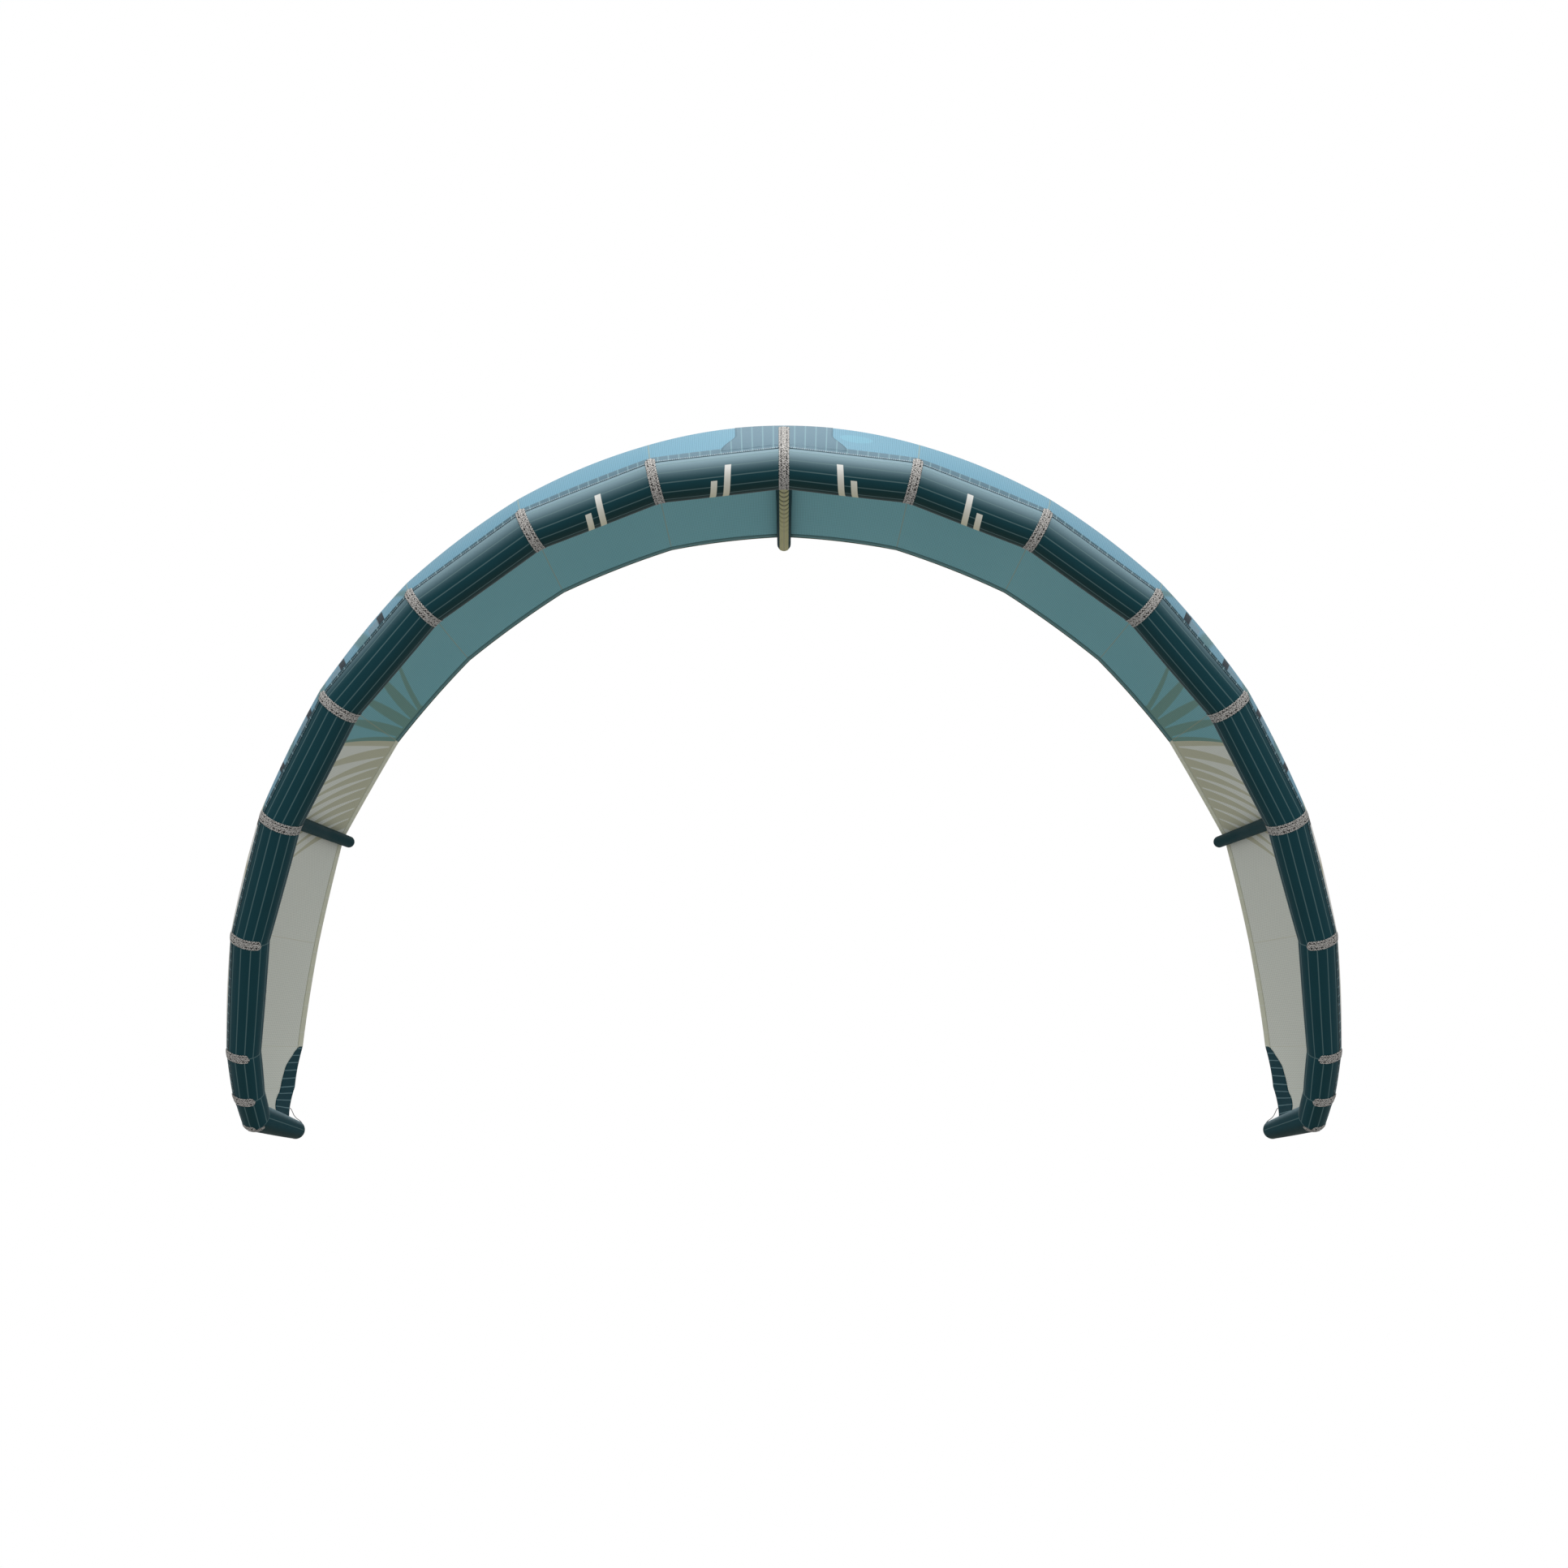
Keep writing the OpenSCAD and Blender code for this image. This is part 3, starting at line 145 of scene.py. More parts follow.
def sweep(k):
    """Degrees that panel k points back."""
    return TIP_SWEEP if k == SEAM_COUNT else SWEEP_RATE * (k - 0.5) + SWEEP_GROWTH * (k - 0.5) ** 3


def panel_dir(k):
    return vec(cosd(lean(k)) * cosd(sweep(k)), sind(sweep(k)), -sind(lean(k)) * cosd(sweep(k)))


def run_to(k):
    return sum(panel_length(j) for j in range(1, k + 1))


def share(k):
    return run_to(k) / run_to(SEAM_COUNT)


SEAMS = [vec(0, 0, 0)]
for panel in range(1, SEAM_COUNT + 1):
    SEAMS.append(SEAMS[-1] + panel_length(panel) * panel_dir(panel))


def tube_r(k):
    return TIP_R if k == SEAM_COUNT else LE_R * (1 - LE_TAPER * max(0, share(k) - TAPER_START) ** 2)


def seam_along(k):
    if k == 0:
        return X
    return panel_dir(k) if k == SEAM_COUNT else unit(panel_dir(k) + panel_dir(k + 1))


def frame_on(axis):
    """Back and outward directions square to an axis of the tube."""
    back = across(Y, axis)
    return back, np.cross(axis, back)


def seam_lean(k):
    return 0 if k == 0 else (lean(k) + lean(min(k + 1, CORNER))) / 2


def arc_out(k):
    return vec(sind(seam_lean(k)), 0, cosd(seam_lean(k)))


def arc_along(k):
    return vec(cosd(seam_lean(k)), 0, -sind(seam_lean(k)))


def half_turn(k):
    return lean(1) if k == 0 else (lean(k + 1) - lean(k)) / 2


def reach_over(j, w, r):
    """How far the surface of panel j lies from its axis in direction w, where its radius is r."""
    lengthwise = np.dot(w, panel_dir(j))
    taper = (tube_r(j - 1) - tube_r(j)) / panel_length(j)
    return r / (math.sqrt(1 - lengthwise**2) + taper * lengthwise)


def attach_frame(k):
    """Back and outward directions where the canopy leaves the tube at seam k."""
    return frame_on(panel_dir(k) if k == CORNER else seam_along(k))


def attach_dir(k):
    back, out = attach_frame(k)
    return cosd(ATTACH) * out - sind(ATTACH) * back


def attach_point(k):
    w = attach_dir(k)
    reach = max(reach_over(j, w, tube_r(k)) for j in range(max(k, 1), min(k + 1, SEAM_COUNT) + 1))
    return SEAMS[k] + w * (reach + SEAT)


def rib_back(k):
    splay = math.radians(RIB_SPLAY * min(1, k / 3))
    pitch = math.radians(RIB_PITCH + TIP_TOE * max(0, share(k) - TOE_START))
    return unit(Y + math.tan(splay) * arc_along(k) - math.tan(pitch) * arc_out(k))


TIP_UP = across(Z, panel_dir(SEAM_COUNT))
TIP_EDGE_END = mix(SEAMS[CORNER], SEAMS[SEAM_COUNT], TIP_REACH)


def te_point(k):
    if k == CORNER:
        return TIP_EDGE_END + TIP_UP * (mix(tube_r(CORNER), TIP_R, TIP_REACH) + TIP_SEAT)
    if k == CORNER - 1:
        return mix(te_point(k - 1), te_point(k + 1), TIP_TE_SHARE)
    return SEAMS[k] + ROOT_CHORD * (1 - share(k) ** 2) ** PLANFORM_POWER * rib_back(k)


def nose_length(k):
    return NOSE_WRAP * tube_r(k) + CREST_PULL * max(0, 1 - share(k) / CREST_SPAN)


def tail_length(k):
    return TAIL_PULL * np.linalg.norm(te_point(k) - SEAMS[k])


def rib_controls(k):
    a, e = attach_point(k), te_point(k)
    line = unit(e - SEAMS[k])
    back, out = attach_frame(k)
    return (
        a,
        a + nose_length(k) * (cosd(ATTACH) * back + sind(ATTACH) * out),
        e - tail_length(k) * (cosd(EXIT) * line - sind(EXIT) * arc_out(k)),
        e,
    )


RIBS = [rib_controls(k) for k in range(CORNER)]


def cubic(q, t):
    return (1 - t) ** 3 * q[0] + 3 * (1 - t) ** 2 * t * q[1] + 3 * (1 - t) * t * t * q[2] + t**3 * q[3]


def cubic_slope(q, t):
    return unit((1 - t) ** 2 * (q[1] - q[0]) + 2 * (1 - t) * t * (q[2] - q[1]) + t * t * (q[3] - q[2]))


def tip_edge(t):
    """The canopy's outer edge, which turns from the joining line to the top of the tip tube as t grows."""
    w = unit(mix(attach_dir(CORNER), TIP_UP, t**TIP_EDGE_TURN))
    r = mix(tube_r(CORNER), TIP_R, TIP_REACH * t)
    return mix(SEAMS[CORNER], TIP_EDGE_END, t) + w * (reach_over(SEAM_COUNT, w, r) + TIP_SEAT)


def rib_point(k, t):
    """Rib k of the canopy. The last one starts past the corner, so that it stays on the tip tube."""
    return tip_edge(t + CORNER_START * (1 - t) ** 4) if k == CORNER else cubic(RIBS[k], t)


def edge_share(k, width, pull):
    """The chord share that a width takes up at one end of rib k. pull is nose_length or tail_length."""
    return width / (TIP_REACH * panel_length(SEAM_COUNT) if k == CORNER else 3 * pull(k))


def panel_out(k):
    return vec(sind(lean(k)), 0, cosd(lean(k)))


def canopy_point(k, v, t):
    """A point of panel k: v runs from its inner seam to its outer one, and t is the share of the chord."""
    hump = 4 * v * (1 - v)
    rise = 4 * t * (1 - t) + (EDGE_BULGE * t**3 if k in CENTRE_BULGE else 0)
    bulge = CENTRE_BULGE.get(k, BULGE) * panel_length(k) * hump * rise
    back = unit(mix(te_point(k - 1), te_point(k), v) - mix(SEAMS[k - 1], SEAMS[k], v))
    flat = mix(rib_point(k - 1, t), rib_point(k, t), v)
    return flat + bulge * panel_out(k) - SCALLOP * hump * t**4 * back


def panel_at(s):
    """The panel at station s, which counts seams from the middle, and the share of the panel inside s."""
    k = min(CORNER, int(math.floor(abs(s))) + 1)
    return k, abs(s) - (k - 1)


def blend(at_seam, s):
    """A value that at_seam(k) gives at each seam, blended to station s."""
    k, v = panel_at(s)
    return mix(at_seam(k - 1), at_seam(k), v)


def sail_point(s, t):
    """A canopy point from a station, negative on the left half, and t, the share of the chord."""
    k, v = panel_at(s)
    p = canopy_point(k, v, t)
    return p * vec(-1, 1, 1) if s < 0 else p


def rib_chord(k):
    return np.linalg.norm(rib_point(k, 1) - rib_point(k, 0))


def span_at(s):
    """Metres along the seams from the middle to station s."""
    k, v = panel_at(s)
    return math.copysign(run_to(k - 1) + v * panel_length(k), s)


# ---------------- cords
TIP_CORD = [
    (2.080, 1.119, -2.567), (2.077, 1.123, -2.570), (2.075, 1.127, -2.575), (2.073, 1.131, -2.581),
    (2.071, 1.135, -2.588), (2.069, 1.139, -2.595), (2.066, 1.144, -2.602), (2.063, 1.149, -2.608),
    (2.060, 1.155, -2.613), (2.056, 1.161, -2.618), (2.052, 1.168, -2.622), (2.048, 1.175, -2.627),
    (2.044, 1.181, -2.633), (2.041, 1.186, -2.639), (2.039, 1.190, -2.646), (2.038, 1.193, -2.652),
    (2.039, 1.195, -2.657), (2.041, 1.196, -2.661), (2.043, 1.196, -2.664), (2.046, 1.196, -2.668),
]
CORD_D = 0.003
CORD_AROUND = 12

# Uv layer 'design' holds 0.5 + station / DESIGN_SPAN and the chord share, and layer 'panel' the panel number
# over PANEL_SPAN and the distance to the nearer seam. Layer 'metric' is metres along and across the cloth.
DESIGN_SPAN = 20
PANEL_SPAN = 16
# a round end stops just short of its pole, so that its last ring keeps a width
ALMOST = 0.999


# ---------------- meshes
def add_mesh(name, points, faces, uvs, materials, face_slots=None):
    """uvs is {layer name: one pair per point}."""
    mesh = bpy.data.meshes.new(name)
    mesh.from_pydata([tuple(p) for p in points], [], faces)
    loops = np.zeros(len(mesh.loops), int)
    mesh.loops.foreach_get("vertex_index", loops)
    for layer_name, values in uvs.items():
        layer = mesh.uv_layers.new(name=layer_name)
        layer.data.foreach_set("uv", np.asarray(values, float)[loops].ravel())
    for material in materials:
        mesh.materials.append(material)
    if face_slots is not None:
        mesh.polygons.foreach_set("material_index", np.asarray(face_slots, int))
    mesh.polygons.foreach_set("use_smooth", [True] * len(mesh.polygons))
    mesh.update()
    obj = bpy.data.objects.new(name, mesh)
    scene.collection.objects.link(obj)
    return obj


def grid_faces(rows, cols, start=0, flip=False):
    faces = []
    for i in range(rows - 1):
        for j in range(cols - 1):
            a = start + i * cols + j
            quad = (a, a + 1, a + cols + 1, a + cols)
            faces.append(quad[::-1] if flip else quad)
    return faces


def round_dirs(turns, x, y):
    """Directions round an axis: x at turn 0 and y a quarter turn on."""
    return np.cos(turns)[:, None] * x + np.sin(turns)[:, None] * y


def pairs(a, b, count=None):
    """Uv pairs from two columns. Either can be one number, and both can with a count."""
    columns = np.broadcast_arrays(a, b) if count is None else (np.full(count, a), np.full(count, b))
    return np.stack(columns, axis=1)


def path_dirs(points):
    return [unit(b - a) for a, b in zip(points[:1] + points[:-1], points[1:] + points[-1:])]


def path_rings(points, radii, wide, turns):
    """Rings round a path, and their uv pairs in metres along it and round it. Turn 0 points towards wide."""
    rings, metric, run = [], [], 0.0
    for i, (p, r, d) in enumerate(zip(points, radii, path_dirs(points))):
        run += np.linalg.norm(p - points[i - 1]) if i else 0
        x = across(wide, d)
        rings.append(p + r * round_dirs(turns, x, np.cross(d, x)))
        metric.append(pairs(run, turns * radii[0]))
    return rings, metric


def round_end(centre, r, dirs, axis, steps, first=1):
    """Rings of a half ball on the end of a tube, each with its outward directions and its distance round."""
    for i in range(first, steps + 1):
        lift = math.pi / 2 * i / steps * ALMOST
        outward = math.cos(lift) * dirs + math.sin(lift) * axis
        yield centre + r * outward, outward, r * lift


def tip_cord(sign, side):
    """Slack cord from the trailing edge corner to the end of the tip tube."""
    points = [vec(sign * x, y, z) for x, y, z in TIP_CORD]
    turns = np.linspace(0, math.tau, CORD_AROUND + 1)
    rings, metric = path_rings(points, [CORD_D / 2] * len(points), X, turns)
    faces = grid_faces(len(rings), CORD_AROUND + 1)
    layers = {"metric": np.concatenate(metric)}
    obj = add_mesh(f"tip_cord_line_{side}", np.concatenate(rings), faces, layers, [braid])
    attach(obj, "kite")
    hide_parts(f"tip_cord_{side}")


def sheet_arrays(grid, thickness, lift=0.0):
    """Points and faces of a thin closed sheet round a grid of points.

    The grid's first index runs back and its second one outward. The rim has the upper side's material.
    """
    rows, cols = grid.shape[:2]
    back = np.gradient(grid, axis=0)
    side = np.gradient(grid, axis=1)
    normal = np.cross(side, back)
    normal /= np.linalg.norm(normal, axis=2, keepdims=True)
    top = grid + normal * (lift + thickness / 2)
    low = grid + normal * (lift - thickness / 2)
    half = rows * cols
    faces = grid_faces(rows, cols) + grid_faces(rows, cols, half, flip=True)
    slots = [0] * ((rows - 1) * (cols - 1)) + [1] * ((rows - 1) * (cols - 1))
    rim = list(range(cols)) + [i * cols + cols - 1 for i in range(1, rows)]
    rim += [(rows - 1) * cols + j for j in range(cols - 2, -1, -1)]
    rim += [i * cols for i in range(rows - 2, 0, -1)]
    for a, b in zip(rim, rim[1:] + rim[:1]):
        faces.append((b, a, a + half, b + half))
        slots.append(0)
    return np.concatenate([top.reshape(-1, 3), low.reshape(-1, 3)]), faces, slots


def add_sheet(name, pieces, thickness, materials, lift=0.0):
    """One object of several grids. Each piece is (grid of points, {uv layer: grid of pairs})."""
    points, faces, slots, uvs, start = [], [], [], {}, 0
    for grid, layers in pieces:
        p, f, s = sheet_arrays(grid, thickness, lift)
        points.append(p)
        faces += [tuple(i + start for i in face) for face in f]
        slots += s
        for key, value in layers.items():
            flat = value.reshape(-1, 2)
            uvs.setdefault(key, []).append(np.concatenate([flat, flat]))
        start += len(p)
    uvs = {key: np.concatenate(value) for key, value in uvs.items()}
    return add_mesh(name, np.concatenate(points), faces, uvs, materials, slots)


def sail_grid(stations, shares):
    """A grid of canopy points with its two uv layers. shares(s) gives the chord shares at station s."""
    columns, design, metric = [], [], []
    for s in stations:
        ts = shares(s)
        chord = blend(rib_chord, s)
        columns.append([sail_point(s, t) for t in ts])
        design.append([(0.5 + s / DESIGN_SPAN, t) for t in ts])
        metric.append([(span_at(s), t * chord) for t in ts])
    points, design, metric = (np.transpose(np.array(rows), (1, 0, 2)) for rows in (columns, design, metric))
    return points, {"design": design, "metric": metric}


# ---------------- shader graphs
def rgb(r, g, b):
    """An sRGB colour from 0 to 255, as linear light."""
    shares = (r / 255, g / 255, b / 255)
    return (*[c / 12.92 if c <= 0.04045 else ((c + 0.055) / 1.055) ** 2.4 for c in shares], 1.0)


def add_node(tree, kind, feeds=None, **settings):
    """A shader node. feeds gives its inputs, by number or name, a value or the output that drives them."""
    node = tree.nodes.new("ShaderNode" + kind)
    for key, value in settings.items():
        setattr(node, key, value)
    for key, value in (feeds or {}).items():
        if isinstance(value, bpy.types.NodeSocket):
            tree.links.new(value, node.inputs[key])
        else:
            node.inputs[key].default_value = value
    return node


class Val:
    """A shader value that takes part in sums."""

    def __init__(self, graph, socket):
        self.graph, self.socket = graph, socket

    def __add__(self, other):
        return self.graph.math("ADD", self, other)

    __radd__ = __add__

    def __sub__(self, other):
        return self.graph.math("SUBTRACT", self, other)

    def __rsub__(self, other):
        return self.graph.math("SUBTRACT", other, self)

    def __mul__(self, other):
        return self.graph.math("MULTIPLY", self, other)

    __rmul__ = __mul__

    def __truediv__(self, other):
        return self.graph.math("DIVIDE", self, other)


class Graph:
    """A material's nodes, built from sums of values. A mask is 1 inside a feature and 0 outside it."""

    def __init__(self, name):
        self.material = bpy.data.materials.new(name)
        self.material.use_nodes = True
        self.tree = self.material.node_tree
        self.bsdf = self.tree.nodes["Principled BSDF"]

    def node(self, kind, feeds, **settings):
        feeds = {key: value.socket if isinstance(value, Val) else value for key, value in feeds.items()}
        return add_node(self.tree, kind, feeds, **settings)

    def math(self, op, *values, clamp=False):
        node = self.node("Math", dict(enumerate(values)), operation=op, use_clamp=clamp)
        return Val(self, node.outputs[0])

    def abs(self, a):
        return self.math("ABSOLUTE", a)

    def fract(self, a):
        return self.math("FRACT", a)

    def both(self, *masks):
        out = masks[0]
        for mask in masks[1:]:
            out = out * mask
        return out

    def either(self, a, b):
        return self.math("MAXIMUM", a, b)

    def below(self, a, limit, soft):
        """1 where a is under limit, with an edge of width soft."""
        return self.math("ADD", self.math("SUBTRACT", limit, a) / soft, 0.5, clamp=True)

    def line(self, a, period, width, soft):
        """Lines at every whole multiple of period."""
        off = self.abs(self.fract(a / period + 0.5) - 0.5) * period
        return self.below(off, width / 2, soft)

    def band(self, a, low, high, soft):
        """1 where a lies between low and high."""
        return self.both(self.below(a, high, soft), 1 - self.below(a, low, soft))

    def split(self, vector):
        return [Val(self, part) for part in self.node("SeparateXYZ", {0: vector}).outputs]

    def uv(self, layer):
        return self.split(self.node("UVMap", {}, uv_map=layer).outputs[0])[:2]

    def place(self):
        return Val(self, self.node("TexCoord", {}).outputs["Object"])

    def join(self, x, y):
        return Val(self, self.node("CombineXYZ", {0: x, 1: y}).outputs[0])

    def noise(self, where, scale, detail=2.0, rough=0.5):
        feeds = {"Vector": where, "Scale": scale, "Detail": detail, "Roughness": rough}
        return Val(self, self.node("TexNoise", feeds).outputs[0])

    def colour(self, mask, base, over):
        """Colour base, with colour over laid on it where mask is above 0."""
        return Val(self, self.node("Mix", {0: mask, 6: base, 7: over}, data_type="RGBA").outputs[2])

    def bump(self, height, distance, strength):
        node = self.node("Bump", {"Height": height, "Distance": distance, "Strength": strength})
        self.tree.links.new(node.outputs[0], self.bsdf.inputs["Normal"])

    def finish(self, colour, rough, specular=0.5, sheen=0.0):
        self.tree.links.new(colour.socket, self.bsdf.inputs["Base Color"])
        self.tree.links.new(rough.socket, self.bsdf.inputs["Roughness"])
        self.bsdf.inputs["Specular IOR Level"].default_value = specular
        self.bsdf.inputs["Sheen Weight"].default_value = sheen
        return self.material


WEAVE = 0.0011


def weave(g, x, y, pitch=WEAVE):
    """Height of a plain weave from two coordinates in metres."""
    return g.math("SINE", x * (math.tau / pitch)) * g.math("SINE", y * (math.tau / pitch))


TEAL = rgb(16, 60, 68)
TEAL_WORN = rgb(22, 78, 90)
# painted highlight: the paler colour laid over the tube's upper side
TEAL_PAINTED_HIGHLIGHT = rgb(134, 160, 170)
# painted shade: the darker colour laid over the tube's lower side
TEAL_PAINTED_SHADE = rgb(14, 44, 40)
TEAL_THREAD = rgb(60, 100, 106)
TEAL_LINE = rgb(112, 140, 142)
BAR_TOP = rgb(236, 236, 232)
BAR_LOW = rgb(206, 202, 168)
LINE_PITCH = 0.0382
LINE_START = 0.0218
LINE_W = 0.0042
TIP_LINE_AROUND = 0.040
SEAM_STITCH = 0.0024
# The plain bars that stand in for the print: how far they reach along the panel and round the tube
LONG_BAR = (-0.046, -0.022)
SHORT_BAR = (0.004, 0.028)
SHORT_BAR_TOP = -0.030
BARS_AROUND = (-0.135, 0.026)
BAR_MIDDLE = 0.246
OUTER_BAR_SHIFT = 0.009
BAR_SLANT = 0.16
BAR_EDGE = 0.0015


def printed_bars(g, along, around, panel):
    """A long and a short light bar on each of the four middle panels."""
    number = g.math("ROUND", panel * PANEL_SPAN)
    slanted = g.abs(along) + around * BAR_SLANT
    off = slanted - g.math("ADD", BAR_MIDDLE, g.below(1.5, number, 0.1) * OUTER_BAR_SHIFT)
    long_bar = g.band(off, *LONG_BAR, BAR_EDGE)
    short_bar = g.both(g.band(off, *SHORT_BAR, BAR_EDGE), g.below(around, SHORT_BAR_TOP, BAR_EDGE))
    on_panel = g.band(number, 0.5, 2.5, 0.2)
    return g.both(on_panel, g.either(long_bar, short_bar), g.band(around, *BARS_AROUND, BAR_EDGE))


def tube_material(name, lines=True, bars=False, tip_line=False, specular=0.10):
    """Dark woven polyester with light lines. A uv layer holds the painted highlight on the upper side and
    the painted shade on the lower side.
    """
    g = Graph(name)
    along, around = g.uv("metric")
    panel, to_seam = g.uv("panel")
    painted_highlight, painted_shade = g.uv("painted_light")
    where = g.join(along, around)
    wear = g.noise(where, 7.0, 3.0)
    fine = g.noise(where, 260.0, 2.0)
    colour = g.colour(wear * 0.25, TEAL, TEAL_WORN)
    # painted highlight laid over the upper side
    colour = g.colour(painted_highlight, colour, TEAL_PAINTED_HIGHLIGHT)
    # painted shade laid over the lower side
    colour = g.colour(painted_shade, colour, TEAL_PAINTED_SHADE)
    colour = g.colour(fine * 0.08, colour, TEAL_THREAD)
    sewn = g.below(to_seam, SEAM_STITCH, 0.0012)
    if lines:
        sewn = g.either(sewn, g.line(around - LINE_START, LINE_PITCH, LINE_W, 0.0014))
    if tip_line:
        sewn = g.either(sewn, g.below(g.abs(around + TIP_LINE_AROUND), 0.0016, 0.0012))
    colour = g.colour(sewn * 0.5, colour, TEAL_LINE)
    if bars:
        bar_low = g.math("ADD", around * -6.2, 0.1, clamp=True)
        bar = printed_bars(g, along, around, panel)
        colour = g.colour(bar, colour, g.colour(bar_low, BAR_TOP, BAR_LOW))
    g.bump(weave(g, along, around) * 0.4 + fine - sewn * 0.5, 0.0003, 0.22)
    return g.finish(colour, wear * 0.14 + 0.42, specular=specular)


STRIPE_PITCH = 0.0385
STRIPE_W = 0.0045
STITCH_PITCH = 0.0078
STITCH_ROWS = ((0.0015, 0.0038), (0.0068, 0.0091))
ROW_EDGE = 0.0008


def strip_material(name, painted_highlight_colour, front_rows=True):
    """Dark cloth with light stripes across it, and a double row of white stitches along its front edge.
    Where the cloth faces up it gets a paler colour as painted highlight, and its stitches are painted
    brighter there.
    """
    g = Graph(name)
    span, chord = g.uv("metric")
    edge, painted_highlight = g.uv("edge")
    where = g.join(span, chord)
    fine = g.noise(where, 300.0, 2.0)
    wear = g.noise(where, 9.0, 3.0)
    colour = g.colour(wear * 0.4, rgb(16, 62, 72), rgb(24, 74, 84))
    # painted highlight where the cloth faces up
    colour = g.colour(painted_highlight, colour, painted_highlight_colour)
    stripe = g.line(span, STRIPE_PITCH, STRIPE_W, 0.0016)
    colour = g.colour(stripe * 0.6, colour, rgb(132, 166, 174))
    height = weave(g, span, chord) * 0.4
    if front_rows:
        # the stitches are painted brighter where the painted highlight lies
        dash = g.below(g.abs(g.fract(span / STITCH_PITCH) - 0.5), 0.30, 0.12) * (painted_highlight * 0.4 + 0.3)
        rows = g.either(*[g.band(edge, *row, ROW_EDGE) for row in STITCH_ROWS])
        colour = g.colour(g.both(rows, dash), colour, rgb(226, 234, 236))
        height = height + rows * dash * 3.0
    g.bump(height, 0.0003, 0.3)
    return g.finish(colour, fine * 0.15 + 0.46, specular=0.12)


# The fan, in stations and chord shares: where its wedges point, their pitch, and its first and last station
FAN_POINT = 0.975
FAN_LENGTH = 0.213
FAN_PIVOT = 3.667
FAN_LEAN = 0.09
FAN_SPREAD = 0.87
OUTER_LEAN = 0.39
WEDGE_AT = 4.183
WEDGE_PITCH = 0.104
WEDGE_HALF = 0.040
FAN_ENDS = (3.610, 4.908)


def fan_wedges(g, s, t):
    """The printed fan: bands between wedges whose points lie near the trailing edge.

    Each wedge runs forward along a line that leans further outward from one wedge to the next.
    """
    run = (FAN_POINT - t) / FAN_LENGTH
    turning = ((s - FAN_PIVOT) + run * FAN_LEAN) / (1.0 + run * FAN_SPREAD) + FAN_PIVOT
    parallel = s - run * OUTER_LEAN
    place = g.either(turning, parallel)
    off = g.abs(g.fract((place - WEDGE_AT) / WEDGE_PITCH + 0.5) - 0.5) * WEDGE_PITCH
    half = g.math("MINIMUM", run * 0.031 + 0.006, WEDGE_HALF)
    wedge = g.both(g.below(off, half, 0.006), g.below(g.math("MULTIPLY", run, -1.0), -0.01, 0.02))
    return g.band(place, *FAN_ENDS, 0.006), wedge


BLUE_TOP = rgb(118, 163, 182)
# the underside's colours are painted light: lighter and bluer than the top, in place of light shining
# through the cloth
BLUE_UNDER_PAINTED_LIGHT = rgb(126, 186, 194)
WHITE_TOP = rgb(236, 236, 232)
WHITE_UNDER_PAINTED_LIGHT = rgb(236, 238, 228)
# the upper side's print: bars by station, a disc in metres, and the ripstop's threads in metres
BAR_ON_TOP_AT = 3.30
BAR_ON_TOP_PITCH = 0.44
DISC_PLACE = (0.262, 0.205)
DISC_R = 0.060
THREAD_SPAN = 0.0069
THREAD_CHORD = 0.0128
THREAD_W = 0.0020


def top_print(g, colour, s, t, span, chord):
    """The upper side's short dark bars, the paler blocks beside them and the plain disc."""
    at_bar = s - BAR_ON_TOP_AT
    across_bar = g.line(at_bar, BAR_ON_TOP_PITCH, 0.064, 0.006)
    bars = g.both(across_bar, g.band(s, 3.2, 5.3, 0.01), g.band(t, 0.03, 0.16, 0.004))
    colour = g.colour(bars, colour, rgb(24, 26, 30))
    across_block = g.band(g.fract(at_bar / BAR_ON_TOP_PITCH), 0.06, 0.30, 0.01)
    blocks = g.both(across_block, g.band(s, 3.2, 4.6, 0.01), g.band(t, 0.03, 0.11, 0.004))
    colour = g.colour(blocks * 0.6, colour, rgb(128, 148, 158))
    disc_x = (span - DISC_PLACE[0]) / DISC_R
    disc_y = (chord - DISC_PLACE[1]) / DISC_R
    disc = g.below(g.math("SQRT", disc_x * disc_x + disc_y * disc_y), 1.0, 0.02)
    return g.colour(disc * 0.5, colour, rgb(124, 180, 198))


